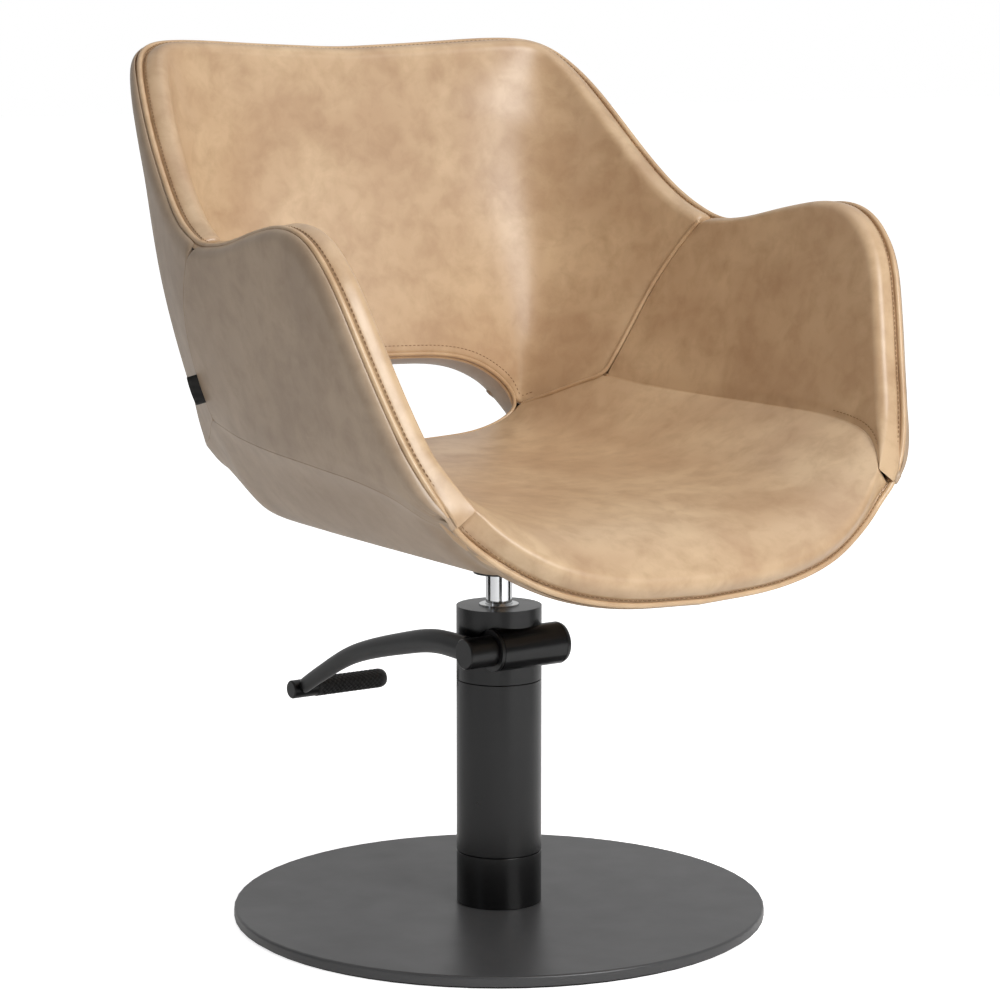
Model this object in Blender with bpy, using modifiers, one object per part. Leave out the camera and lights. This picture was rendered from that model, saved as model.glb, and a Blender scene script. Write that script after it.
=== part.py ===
"""Styling chair: an upholstered bucket seat with an open lumbar slot, on a hydraulic pump column.

Metres, +Z up. The origin is on the floor under the column. The sitter faces -Y, so +X is the sitter's
left hand. The foot lever is behind the chair, at +Y. Everything is drawn with the seat at its lowest.
"""

from math import pi

import bmesh
import bpy
import numpy as np
from mathutils import Matrix, Vector

# ---------------------------------------------------------------- driving dimensions
GAP = 0.0003                  # between two pieces that touch or fit

SHEET_THICK = 0.002           # rubber sheet glued under the base disc
SHEET_INSET = 0.004           # from the disc's edge
BASE_RADIUS = 0.250
BASE_THICK = 0.0095
BASE_EDGE = 0.0025            # easing of the disc's upper edge

COLUMN_RADIUS = 0.040
COLUMN_WALL = 0.0035
COLLAR_HEIGHT = 0.049
HOUSING_HEIGHT = 0.164
HEAD_HEIGHT = 0.069
HEAD_PLATE = 0.013            # solid top of the pump head
SEAM = 0.0006                 # visible joint lines of the column

FOOT_THICK = 0.014            # steel foot that the base screws pull down
SCREW_CIRCLE = 0.025          # base screws, radius of their circle
SCREW_RADIUS = 0.005
SCREW_HEAD_RADIUS = 0.0085
SCREW_HEAD = 0.005
SCREW_BITE = 0.010            # how far the base screws reach into the foot

ROD_RADIUS = 0.0125           # chrome piston rod
CYLINDER_WALL = 0.0022
ROD_PLAY = 0.0007             # rod to cylinder bore
CUP_THICK = 0.008             # piston seal under the rod
ROD_SHOW = 0.030              # rod seen between the pump and the seat socket at the lowest seat
TAPER_LENGTH = 0.030          # seated end of the rod
TAPER_DROP = 0.0012
GLAND_RADIUS = 0.0185
GLAND_HEIGHT = 0.0075
GLAND_PROUD = 0.0015

BARREL_RADIUS = 0.0197        # cross barrel that carries the lever shaft
BARREL_NOTCH = 0.012          # the barrel's left end, inside the column's side
BARREL_OVERHANG = 0.001       # the barrel's right end, beyond the column's side
BARREL_BELOW_TOP = 0.035      # barrel axis under the column's top
BARREL_INSET = 0.006          # barrel axis inside the column's front
BUSH_WALL = 0.003
BUSH_LENGTH = 0.013
SHAFT_RADIUS = 0.008
CAP_LENGTH = 0.006

CRANK_REACH = 0.010           # finger on the lever shaft that pushes the plunger
CRANK_DROP = 0.006            # finger's roller under the shaft's axis
CRANK_WIDTH = 0.010
CRANK_CLEAR = 0.003           # room for the finger beside the slot in the barrel
ROLLER_RADIUS = 0.004
PLUNGER_RADIUS = 0.0045
PLUNGER_STROKE = 0.0042        # room under the plunger for the lever's full swing
PLUNGER_FLANGE = 0.0068
FLANGE_THICK = 0.002
FLANGE_CLEAR = 0.0025         # plunger's flange under the barrel
BLOCK_RADIUS = 0.0088
BLOCK_LENGTH = 0.045
BLOCK_FLOOR = 0.006
SPRING_WIRE = 0.0007
SPRING_TURNS = 4
SPRING_LENGTH = 0.0235
BALL_RADIUS = 0.0034

HUB_RADIUS = 0.0145
HUB_LENGTH = 0.030
HUB_WALL = 0.0025             # closed end of the hub
END_EASE = 0.0012             # easing of the hub's and the pedal's ends
FLANGE_RING = 0.0035          # rim of the outer bush, seen beside the hub
ARM_ROOT_RADIUS = 0.0125
ARM_TIP_RADIUS = 0.0078
ARM_FLATTEN = 0.70            # the arm is an oval bar, thinner from side to side
ARM_TO_COLUMN = 0.0025        # the arm passes this far beside the column
PEDAL_ROD_RADIUS = 0.0060
PEDAL_CAP_RADIUS = 0.0092
PEDAL_CAP_LENGTH = 0.028
GRIP_RADIUS = 0.0098
GRIP_LENGTH = 0.082
GRIP_END = 0.006              # closed end of the rubber grip
# the lever arm's centre line from the shaft to the pedal, as (rearward, up) from the shaft
ARM_PATH = ((0.0, 0.002), (0.064, 0.001), (0.119, -0.010), (0.212, -0.0365), (0.277, -0.068), (0.314, -0.088))

SOCKET_RADIUS = 0.024
SOCKET_FLANGE = 0.043
SOCKET_FLANGE_THICK = 0.005
SOCKET_LENGTH = 0.042
SOCKET_FLARE = 0.012          # height over which the socket widens to its flange
WASHER_THICK = 0.002
PLATE_LENGTH = 0.180          # mounting plate, front to back
PLATE_WIDTH = 0.160
PLATE_THICK = 0.005
BOLT_INSET = 0.018            # seat bolts from the plate's edges
BOLT_RADIUS = 0.004
BOLT_HEAD_RADIUS = 0.0065
BOLT_HEAD = 0.005
NUT_WALL = 0.002

SEAT_WIDTH = 0.650            # bucket, over the arms
SEAT_DEPTH = 0.640            # bucket, front edge to back of backrest
SEAT_HEIGHT = 0.475           # bucket, front edge to top of backrest
PAD_THICK = 0.025             # foam and cover, on the back, the arms and the rim
SHELL_THICK = 0.007           # moulded shell
COVER_THICK = 0.004           # outer cover with its thin lining
LAYER_GAP = 0.001             # between the pads, the shell and the outer covers
PIPING_RADIUS = 0.0034
CREASE_PIPING_RADIUS = 0.0028
SLOT_PIPING_SINK = 0.004      # slot piping behind the pad's face
TAG_SIZE = (0.011, 0.0012, 0.031)    # out of the seam, thickness, along the seam
TAG_ROW = 1                   # cell of the seam that it stands in

# ---------------------------------------------------------------- bucket outlines
# Drawn for a bucket of PATTERN_SIZE, as (across, towards the back, up from the seat's underside) in
# millimetres, for the sitter's left half. They lie on the inner cover. The real size scales them.
PATTERN_SIZE = (650, 640, 475)
BACK_SIDE_RIM = ((264, 38, 273), (260, 75, 285), (252, 115, 314), (243, 160, 357), (231, 203, 405),
                 (215, 242, 443))
BACK_TOP_RIM = ((215, 242, 443), (170, 251, 442), (100, 255, 438), (0, 257, 434))
ARM_RIM = ((264, 38, 273), (268, -10, 276), (274, -75, 290), (278, -132, 298), (278, -168, 290),
           (275, -201, 260), (264, -224, 209), (251, -244, 157), (236, -266, 107), (215, -286, 68))
FRONT_RIM = ((215, -286, 68), (185, -304, 38), (141, -318, 13), (81, -325, -3), (0, -328, -8))
BACK_CREASE = ((201, 114, 115), (219, 106, 150), (242, 87, 207), (258, 55, 255), (264, 38, 273))
SEAT_CREASE = ((201, 114, 115), (191, 137, 107), (176, 166, 94), (160, 203, 79))
SLOT_TOP = ((160, 203, 79), (150, 200, 97), (130, 197, 113), (104, 194, 127), (69, 192, 136), (0, 190, 140))
SLOT_BOTTOM = ((160, 203, 79), (147, 206, 68), (105, 198, 58), (53, 189, 56), (0, 185, 55))
ARM_SEAM = ((201, 114, 115), (211, 60, 110), (223, -20, 107), (231, -110, 106), (235, -190, 104),
            (232, -250, 94), (215, -286, 68))
SEAT_CROWN = 0.008            # how far the seat cushion stands up in its middle

ROLL_SHARE = 0.154            # part of the seat's depth in which its front rolls down
ROLL_DROP = 0.57              # part of the seat's fall that lies in that roll
ROLL_ANGLE = 0.92             # how far the roll has turned at the rim, in radians

WING_COLUMNS = 5              # grid cells from the arm up to the back's top corner
CREASE_COLUMNS = 3            # grid cells along the back-to-seat crease
SLOT_COLUMNS = 7              # grid cells along half the slot
PANEL_ROWS = 6                # grid cells up the back and the arms
SEAT_ROWS = 9                 # grid cells from the back to the front

# ---------------------------------------------------------------- heights worked out from the sizes
BASE_BOTTOM = SHEET_THICK + GAP
BASE_TOP = BASE_BOTTOM + BASE_THICK
COLLAR_BOTTOM = BASE_TOP + GAP
COLLAR_TOP = COLLAR_BOTTOM + COLLAR_HEIGHT
HOUSING_BOTTOM = COLLAR_TOP + SEAM
HOUSING_TOP = HOUSING_BOTTOM + HOUSING_HEIGHT
HEAD_BOTTOM = HOUSING_TOP + SEAM
HEAD_TOP = HEAD_BOTTOM + HEAD_HEIGHT
HEAD_CAVITY_TOP = HEAD_TOP - HEAD_PLATE
FOOT_TOP = COLLAR_BOTTOM + FOOT_THICK
COLUMN_BORE = COLUMN_RADIUS - COLUMN_WALL

CYLINDER_BORE = ROD_RADIUS + ROD_PLAY
CYLINDER_RADIUS = CYLINDER_BORE + CYLINDER_WALL
CUP_BOTTOM = FOOT_TOP + GAP
ROD_BOTTOM = CUP_BOTTOM + CUP_THICK + GAP
SOCKET_BOTTOM = HEAD_TOP + ROD_SHOW
ROD_TOP = SOCKET_BOTTOM + TAPER_LENGTH
SOCKET_TOP = SOCKET_BOTTOM + SOCKET_LENGTH
PLATE_BOTTOM = SOCKET_TOP + GAP
PLATE_TOP = PLATE_BOTTOM + PLATE_THICK
UNDERSIDE = PLATE_TOP + GAP                       # lowest face of the seat's outer cover
SHELL_FLOOR = UNDERSIDE + COVER_THICK + LAYER_GAP + SHELL_THICK    # inner face of the shell's flat floor

SHAFT_Y = BARREL_INSET - COLUMN_RADIUS
BARREL_LEFT = BARREL_NOTCH - COLUMN_RADIUS
BARREL_RIGHT = COLUMN_RADIUS + BARREL_OVERHANG
SHAFT_Z = HEAD_TOP - BARREL_BELOW_TOP
HUB_RIGHT = BARREL_LEFT - FLANGE_RING - SEAM
HUB_LEFT = HUB_RIGHT - HUB_LENGTH
ARM_X = -COLUMN_RADIUS - ARM_TO_COLUMN - ARM_ROOT_RADIUS * ARM_FLATTEN
PEDAL_Y = SHAFT_Y + ARM_PATH[-1][0]
PEDAL_Z = SHAFT_Z + ARM_PATH[-1][1]
ROLLER_Y = SHAFT_Y + CRANK_REACH
ROLLER_Z = SHAFT_Z - CRANK_DROP
PLUNGER_Y = ROLLER_Y - 0.15 * CRANK_REACH          # middle of the roller's sweep
PLUNGER_TOP = ROLLER_Z - ROLLER_RADIUS - GAP
FLANGE_TOP = SHAFT_Z - BARREL_RADIUS - FLANGE_CLEAR
SPRING_TOP = FLANGE_TOP - FLANGE_THICK - GAP
BLOCK_TOP = SPRING_TOP - SPRING_LENGTH - GAP
BLOCK_BOTTOM = BLOCK_TOP - BLOCK_LENGTH
VALVE_SEAT = BLOCK_BOTTOM + BLOCK_FLOOR
PLUNGER_BOTTOM = VALVE_SEAT + 2 * BALL_RADIUS + PLUNGER_STROKE + 2 * GAP

# ---------------------------------------------------------------- scene and materials
for leftover in list(bpy.data.objects):
    bpy.data.objects.remove(leftover)

parts = bpy.data.collections.new("styling_chair")
cutters = bpy.data.collections.new("cutters")
bpy.context.scene.collection.children.link(parts)
bpy.context.scene.collection.children.link(cutters)
cutters.hide_render = True


def new_material(name, colour, roughness, metallic=0.0):
    """Material with one Principled surface. The colour is linear."""
    material = bpy.data.materials.new(name)
    material.use_nodes = True
    surface = material.node_tree.nodes["Principled BSDF"]
    surface.inputs["Base Color"].default_value = (*colour, 1.0)
    surface.inputs["Roughness"].default_value = roughness
    surface.inputs["Metallic"].default_value = metallic
    return material


LEATHERETTE = new_material("tan_leatherette", (0.53, 0.36, 0.20), 0.45)
PIPING = new_material("tan_piping", (0.45, 0.30, 0.16), 0.45)
SHELL = new_material("moulded_shell", (0.05, 0.05, 0.05), 0.6)
BLACK_STEEL = new_material("black_powder_coat", (0.015, 0.015, 0.016), 0.4)
DISC_STEEL = new_material("satin_black_disc", (0.05, 0.05, 0.05), 0.45)
CHROME = new_material("chromed_steel", (0.8, 0.8, 0.8), 0.08, 1.0)
ZINC = new_material("zinc_plated_steel", (0.6, 0.6, 0.58), 0.35, 1.0)
STEEL = new_material("machined_steel", (0.45, 0.45, 0.46), 0.35, 1.0)
BRONZE = new_material("sintered_bronze", (0.55, 0.36, 0.16), 0.4, 1.0)
RUBBER = new_material("black_rubber", (0.02, 0.02, 0.02), 0.8)
LABEL = new_material("woven_tag", (0.01, 0.01, 0.01), 0.8)


def pivot(name, place, parent=None):
    """Empty on a joint's axis, which carries the pieces that the joint moves."""
    empty = bpy.data.objects.new(name, None)
    empty.location = place
    empty.empty_display_size = 0.05
    parts.objects.link(empty)
    bpy.context.view_layer.update()
    if parent:
        carry(empty, parent)
    return empty


def carry(obj, parent):
    """Parent obj and leave it where it is."""
    bpy.context.view_layer.update()
    obj.parent = parent
    obj.matrix_parent_inverse = parent.matrix_world.inverted()
    bpy.context.view_layer.update()


def add_object(name, mesh, material, place=(0, 0, 0), turn=(0, 0, 0), parent=None):
    """Put a mesh in the chair's collection, with its own copy of the material."""
    obj = bpy.data.objects.new(name, mesh)
    obj.location = place
    obj.rotation_euler = turn
    mesh.materials.append(material.copy())
    mesh.materials[0].name = name
    parts.objects.link(obj)
    if parent:
        carry(obj, parent)
    return obj


def smooth(mesh, angle=0.6):
    mesh.shade_smooth()
    mesh.set_sharp_from_angle(angle=angle)


# ---------------------------------------------------------------- turned, drilled and bent pieces
ALONG_X = (0, pi / 2, 0)      # turns a piece's own +Z to the world's +X
CUTTER_REACH = 0.1            # half length of a cutter that has to pass right through


def turned(name, profile, material, steps=32, ring=False, **where):
    """Profile of (radius, height) that runs down the outside, turned about Z. A ring closes on itself."""
    mesh = bpy.data.meshes.new(name)
    count = len(profile)
    edges = [(i, i + 1) for i in range(count - 1)]
    if ring:
        edges.append((count - 1, 0))
    mesh.from_pydata([(radius, 0, height) for radius, height in profile], edges, [])
    obj = add_object(name, mesh, material, **where)
    screw = obj.modifiers.new("turn", "SCREW")
    screw.steps = steps
    screw.render_steps = steps
    screw.use_merge_vertices = True
    screw.merge_threshold = 0.00001
    screw.use_smooth_shade = True
    return obj


def rod_profile(radius, bottom, top, ease=0.0):
    """Solid round bar, with its two ends eased."""
    if not ease:
        return [(0, top), (radius, top), (radius, bottom), (0, bottom)]
    return [(0, top), (radius - ease, top), (radius, top - ease),
            (radius, bottom + ease), (radius - ease, bottom), (0, bottom)]


def tube_profile(outer, inner, bottom, top):
    return [(outer, top), (outer, bottom), (inner, bottom), (inner, top)]


def cutter_rod(name, radius, bottom, top, steps=32, place=(0, 0, 0), turn=(0, 0, 0)):
    """Round cutter along its own Z."""
    mesh = bpy.data.meshes.new(name)
    bm = bmesh.new()
    bmesh.ops.create_cone(bm, cap_ends=True, segments=steps, radius1=radius, radius2=radius,
                          depth=top - bottom)
    bmesh.ops.translate(bm, verts=bm.verts, vec=(0, 0, (top + bottom) / 2))
    bm.to_mesh(mesh)
    bm.free()
    return keep_cutter(name, mesh, place, turn)


def cutter_box(name, low, high):
    """Rectangular cutter between two corners."""
    mesh = bpy.data.meshes.new(name)
    bm = bmesh.new()
    bmesh.ops.create_cube(bm, size=1.0)
    size = [b - a for a, b in zip(low, high)]
    bmesh.ops.scale(bm, verts=bm.verts, vec=size)
    bm.to_mesh(mesh)
    bm.free()
    return keep_cutter(name, mesh, [(a + b) / 2 for a, b in zip(low, high)], (0, 0, 0))


def keep_cutter(name, mesh, place, turn):
    obj = bpy.data.objects.new(name, mesh)
    obj.location = place
    obj.rotation_euler = turn
    obj.display_type = "WIRE"
    obj.hide_render = True
    cutters.objects.link(obj)
    return obj


def boolean(obj, other, operation="DIFFERENCE"):
    step = obj.modifiers.new(other.name, "BOOLEAN")
    step.operation = operation
    step.object = other
    return obj


def tube_along(name, points, radius, material, sides=2, closed=False, radii=None, parent=None):
    """Tube along a list of points. It becomes a mesh with welded caps, so that it can be cut."""
    data = bpy.data.curves.new(name, "CURVE")
    data.dimensions = "3D"
    data.bevel_depth = radius
    data.bevel_resolution = sides
    data.use_fill_caps = not closed
    line = data.splines.new("POLY")
    line.points.add(len(points) - 1)
    for index, point in enumerate(points):
        line.points[index].co = (*point, 1.0)
        line.points[index].radius = radii[index] if radii else 1.0
    line.use_cyclic_u = closed
    curve = bpy.data.objects.new(name + "_curve", data)
    parts.objects.link(curve)
    bpy.context.view_layer.update()
    graph = bpy.context.evaluated_depsgraph_get()
    mesh = bpy.data.meshes.new_from_object(curve.evaluated_get(graph))
    bpy.data.objects.remove(curve)
    mesh.name = name
    mesh.materials.clear()
    bm = bmesh.new()
    bm.from_mesh(mesh)
    bmesh.ops.remove_doubles(bm, verts=bm.verts, dist=0.00001)
    bmesh.ops.recalc_face_normals(bm, faces=bm.faces)
    bm.to_mesh(mesh)
    bm.free()
    smooth(mesh)
    return add_object(name, mesh, material, parent=parent)


# ---------------------------------------------------------------- base and column
def make_base():
    turned("anti_slip_sheet", rod_profile(BASE_RADIUS - SHEET_INSET, 0, SHEET_THICK), RUBBER, steps=64)
    disc = turned("base_disc",
                  [(0, BASE_TOP), (BASE_RADIUS - BASE_EDGE, BASE_TOP),
                   (BASE_RADIUS - BASE_EDGE * 0.3, BASE_TOP - BASE_EDGE * 0.3),
                   (BASE_RADIUS, BASE_TOP - BASE_EDGE), (BASE_RADIUS, BASE_BOTTOM), (0, BASE_BOTTOM)],
                  DISC_STEEL, steps=64)
    foot = turned("pump_foot", rod_profile(COLUMN_BORE - GAP, COLLAR_BOTTOM, FOOT_TOP), STEEL, steps=32)
    head_top = BASE_BOTTOM + GAP + SCREW_HEAD
    screw_top = COLLAR_BOTTOM + SCREW_BITE
    for index in range(4):
        angle = pi / 4 + index * pi / 2
        place = (SCREW_CIRCLE * np.cos(angle), SCREW_CIRCLE * np.sin(angle), 0)
        name = f"base_screw_{index + 1}"
        turned(name,
               [(0, screw_top), (SCREW_RADIUS, screw_top), (SCREW_RADIUS, head_top),
                (SCREW_HEAD_RADIUS, head_top), (SCREW_HEAD_RADIUS, BASE_BOTTOM + GAP),
                (0, BASE_BOTTOM + GAP)],
               ZINC, steps=12, place=place)
        hole = cutter_rod(name + "_hole", SCREW_RADIUS + GAP, 0, screw_top + GAP, 12, place)
        sink = cutter_rod(name + "_sink", SCREW_HEAD_RADIUS + GAP, 0, head_top + GAP, 12, place)
        boolean(disc, hole)
        boolean(disc, sink)
        boolean(foot, hole)
    turned("base_collar", tube_profile(COLUMN_RADIUS, COLUMN_BORE, COLLAR_BOTTOM, COLLAR_TOP),
           BLACK_STEEL, steps=48, ring=True)
    turned("pump_housing", tube_profile(COLUMN_RADIUS, COLUMN_BORE, HOUSING_BOTTOM, HOUSING_TOP),
           BLACK_STEEL, steps=48, ring=True)


def make_head():
    """Cast head: a cup open at the bottom, with the cross barrel for the lever shaft in its front."""
    rod_hole = ROD_RADIUS + ROD_PLAY
    gland_seat = GLAND_RADIUS + GAP
    gland_floor = HEAD_TOP - GLAND_HEIGHT - GAP
    head = turned("pump_head",
                  [(COLUMN_RADIUS, HEAD_TOP), (COLUMN_RADIUS, HEAD_BOTTOM), (COLUMN_BORE, HEAD_BOTTOM),
                   (COLUMN_BORE, HEAD_CAVITY_TOP), (rod_hole, HEAD_CAVITY_TOP), (rod_hole, gland_floor),
                   (gland_seat, gland_floor), (gland_seat, HEAD_TOP)],
                  BLACK_STEEL, steps=48, ring=True)
    barrel_at = (0, SHAFT_Y, SHAFT_Z)
    bush_hole = SHAFT_RADIUS + BUSH_WALL + 2 * GAP
    relief = cutter_rod("hub_relief", BARREL_RADIUS + GAP, -CUTTER_REACH, BARREL_LEFT, 32, barrel_at, ALONG_X)
    barrel = cutter_rod("barrel", BARREL_RADIUS, BARREL_LEFT, BARREL_RIGHT, 32, barrel_at, ALONG_X)
    through_hole = cutter_rod("barrel_hole", bush_hole, -CUTTER_REACH, CUTTER_REACH, 32, barrel_at, ALONG_X)
    boolean(head, relief)
    boolean(head, barrel, "UNION")
    boolean(head, through_hole)
    boolean(head, cutter_rod("cylinder_hole", CYLINDER_RADIUS + GAP, HEAD_BOTTOM, HEAD_CAVITY_TOP, 32))
    half_slot = CRANK_WIDTH / 2 + CRANK_CLEAR
    slot_end = PLUNGER_Y + PLUNGER_FLANGE + CRANK_CLEAR / 2
    boolean(head, cutter_box("crank_slot", (-half_slot, SHAFT_Y, SHAFT_Z - BARREL_RADIUS - GAP),
                             (half_slot, slot_end, SHAFT_Z + bush_hole)))
    gland_bottom = gland_floor + GAP
    turned("gland_ring", tube_profile(GLAND_RADIUS, ROD_RADIUS + GAP, gland_bottom, HEAD_TOP + GLAND_PROUD),
           CHROME, steps=32, ring=True)
    for side, start in (("left", BARREL_LEFT), ("right", BARREL_RIGHT - GAP - BUSH_LENGTH)):
        bore = SHAFT_RADIUS + GAP
        bush = tube_profile(bore + BUSH_WALL, bore, start + GAP, start + BUSH_LENGTH)
        turned(f"shaft_bush_{side}", bush, BRONZE, steps=24, ring=True, place=barrel_at, turn=ALONG_X)
    turned("barrel_ring", tube_profile(BARREL_RADIUS, SHAFT_RADIUS + GAP, BARREL_LEFT - GAP - FLANGE_RING,
                                       BARREL_LEFT - GAP),
           BLACK_STEEL, steps=32, ring=True, place=barrel_at, turn=ALONG_X)
    cap_start = BARREL_RIGHT + GAP
    cap_end = cap_start + CAP_LENGTH
    ease = CAP_LENGTH * 0.75
    turned("barrel_cap",
           [(0, cap_end), (BARREL_RADIUS - ease, cap_end), (BARREL_RADIUS - ease * 0.3, cap_end - ease * 0.3),
            (BARREL_RADIUS, cap_end - ease), (BARREL_RADIUS, cap_start), (0, cap_start)],
           BLACK_STEEL, steps=32, place=barrel_at, turn=ALONG_X)


def make_hydraulics(lift, plunger_slide):
    turned("pressure_cylinder",
           tube_profile(CYLINDER_RADIUS, CYLINDER_BORE, FOOT_TOP + GAP, HEAD_CAVITY_TOP - GAP),
           STEEL, steps=32, ring=True)
    cup = rod_profile(CYLINDER_BORE - GAP, CUP_BOTTOM, CUP_BOTTOM + CUP_THICK)
    turned("piston_cup", cup, RUBBER, steps=32, parent=lift)
    turned("piston_rod",
           [(0, ROD_TOP), (ROD_RADIUS - TAPER_DROP, ROD_TOP), (ROD_RADIUS, SOCKET_BOTTOM),
            (ROD_RADIUS, ROD_BOTTOM), (0, ROD_BOTTOM)],
           CHROME, steps=32, parent=lift)
    bore = PLUNGER_RADIUS + GAP
    passage = BALL_RADIUS * 0.6
    turned("pump_block",
           [(BLOCK_RADIUS, BLOCK_TOP), (BLOCK_RADIUS, BLOCK_BOTTOM), (passage, BLOCK_BOTTOM),
            (passage, VALVE_SEAT), (bore, VALVE_SEAT), (bore, BLOCK_TOP)],
           STEEL, steps=16, ring=True, place=(0, PLUNGER_Y, 0))
    turned("check_ball",
           [(BALL_RADIUS * np.sin(turn), VALVE_SEAT + GAP + BALL_RADIUS * (1 + np.cos(turn)))
            for turn in np.linspace(0, pi, 9)],
           STEEL, steps=12, place=(0, PLUNGER_Y, 0))
    turned("plunger",
           [(0, PLUNGER_TOP), (PLUNGER_RADIUS, PLUNGER_TOP), (PLUNGER_RADIUS, FLANGE_TOP),
            (PLUNGER_FLANGE, FLANGE_TOP), (PLUNGER_FLANGE, FLANGE_TOP - FLANGE_THICK),
            (PLUNGER_RADIUS, FLANGE_TOP - FLANGE_THICK), (PLUNGER_RADIUS, PLUNGER_BOTTOM),
            (0, PLUNGER_BOTTOM)],
           STEEL, steps=16, place=(0, PLUNGER_Y, 0), parent=plunger_slide)
    coil_radius = (PLUNGER_RADIUS + GAP + SPRING_WIRE) / np.cos(pi / 8)
    low = BLOCK_TOP + GAP + SPRING_WIRE
    high = SPRING_TOP - SPRING_WIRE
    steps = SPRING_TURNS * 8
    coil = [(coil_radius * np.cos(i * pi / 4), PLUNGER_Y + coil_radius * np.sin(i * pi / 4),
             low + (high - low) * i / steps) for i in range(steps + 1)]
    tube_along("plunger_spring", coil, SPRING_WIRE, STEEL, sides=1)


# ---------------------------------------------------------------- foot lever
def make_lever(lever):
    axis = (0, SHAFT_Y, SHAFT_Z)
    shaft = turned("lever_shaft",
                   rod_profile(SHAFT_RADIUS, HUB_LEFT + HUB_WALL + GAP, BARREL_RIGHT - GAP, 0.0005), STEEL,
                   steps=24, place=axis, turn=ALONG_X, parent=lever)
    half = CRANK_WIDTH / 2
    finger = cutter_box("crank_finger", (-half, SHAFT_Y, ROLLER_Z - ROLLER_RADIUS * 0.8),
                        (half, ROLLER_Y, ROLLER_Z + ROLLER_RADIUS * 0.8))
    roller = cutter_rod("crank_roller", ROLLER_RADIUS, -half, half, 16, (0, ROLLER_Y, ROLLER_Z), ALONG_X)
    boolean(shaft, finger, "UNION")
    boolean(shaft, roller, "UNION")
    turned("lever_hub",
           [(HUB_RADIUS, HUB_RIGHT), (HUB_RADIUS, HUB_LEFT + END_EASE), (HUB_RADIUS - END_EASE, HUB_LEFT),
            (0, HUB_LEFT), (0, HUB_LEFT + HUB_WALL), (SHAFT_RADIUS + GAP, HUB_LEFT + HUB_WALL),
            (SHAFT_RADIUS + GAP, HUB_RIGHT)],
           BLACK_STEEL, steps=32, ring=True, place=axis, turn=ALONG_X, parent=lever)
    path = through([(ARM_X, SHAFT_Y + out, SHAFT_Z + up) for out, up in ARM_PATH], 14)
    radii = list(np.linspace(1.0, ARM_TIP_RADIUS / ARM_ROOT_RADIUS, len(path)))
    arm = tube_along("lever_arm", path, ARM_ROOT_RADIUS, BLACK_STEEL, sides=3, radii=radii, parent=lever)
    for vert in arm.data.vertices:
        vert.co.x = ARM_X + (vert.co.x - ARM_X) * ARM_FLATTEN
    boolean(arm, cutter_rod("hub_saddle", HUB_RADIUS + GAP, -CUTTER_REACH, CUTTER_REACH, 32, axis, ALONG_X))
    pedal_at = (0, PEDAL_Y, PEDAL_Z)
    boolean(arm, cutter_rod("pedal_saddle", PEDAL_CAP_RADIUS + GAP, -CUTTER_REACH, CUTTER_REACH, 24, pedal_at,
                            ALONG_X))
    cap_right = HUB_LEFT + PEDAL_CAP_LENGTH
    rod_end = cap_right + GRIP_LENGTH - GRIP_END
    turned("pedal_rod",
           [(0, rod_end), (PEDAL_ROD_RADIUS, rod_end), (PEDAL_ROD_RADIUS, cap_right),
            (PEDAL_CAP_RADIUS, cap_right), (PEDAL_CAP_RADIUS, HUB_LEFT + END_EASE),
            (PEDAL_CAP_RADIUS - END_EASE, HUB_LEFT), (0, HUB_LEFT)],
           BLACK_STEEL, steps=24, place=pedal_at, turn=ALONG_X, parent=lever)
    grip_end = cap_right + GRIP_LENGTH
    sleeve_bore = PEDAL_ROD_RADIUS + GAP
    turned("pedal_grip",
           [(0, grip_end), (GRIP_RADIUS * 0.6, grip_end), (GRIP_RADIUS * 0.9, grip_end - GRIP_RADIUS * 0.3),
            (GRIP_RADIUS, grip_end - GRIP_RADIUS * 0.7), (GRIP_RADIUS, cap_right + GAP),
            (sleeve_bore, cap_right + GAP), (sleeve_bore, rod_end + GAP), (0, rod_end + GAP)],
           RUBBER, steps=24, place=pedal_at, turn=ALONG_X, parent=lever)


# ---------------------------------------------------------------- smooth curves and curved panels
def through(points, stations):
    """Smooth curve through the points (centripetal Catmull-Rom), as stations + 1 evenly spaced points."""
    knots = np.array(points, float)
    knots = np.vstack([2 * knots[0] - knots[1], knots, 2 * knots[-1] - knots[-2]])
    pieces = []
    for a, b, c, d in zip(knots, knots[1:], knots[2:], knots[3:]):
        t1, t2, t3 = np.cumsum([np.sqrt(np.linalg.norm(q - p)) for p, q in ((a, b), (b, c), (c, d))])
        t = np.linspace(t1, t2, 24, endpoint=False)[:, None]
        ab = (t1 - t) / t1 * a + t / t1 * b
        bc = (t2 - t) / (t2 - t1) * b + (t - t1) / (t2 - t1) * c
        cd = (t3 - t) / (t3 - t2) * c + (t - t2) / (t3 - t2) * d
        first = (t2 - t) / t2 * ab + t / t2 * bc
        last = (t3 - t) / (t3 - t1) * bc + (t - t1) / (t3 - t1) * cd
        pieces.append((t2 - t) / (t2 - t1) * first + (t - t1) / (t2 - t1) * last)
    dense = np.vstack(pieces + [knots[-2][None]])
    length = np.r_[0, np.cumsum(np.linalg.norm(np.diff(dense, axis=0), axis=1))]
    wanted = np.linspace(0, length[-1], stations + 1)
    return np.stack([np.interp(wanted, length, dense[:, axis]) for axis in range(3)], 1)


def seam_line(outline, stations):
    """A pattern outline at the real size, in place on the column."""
    scale = np.array([SEAT_WIDTH, SEAT_DEPTH, SEAT_HEIGHT]) / np.array(PATTERN_SIZE)
    return through(np.array(outline, float) * scale + [0, 0, UNDERSIDE], stations)


OTHER_HAND = np.array([-1, 1, 1])


def whole(half):
    """Adds the sitter's right half to a line that ends in the middle."""
    return np.vstack([half, (half * OTHER_HAND)[-2::-1]])


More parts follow.
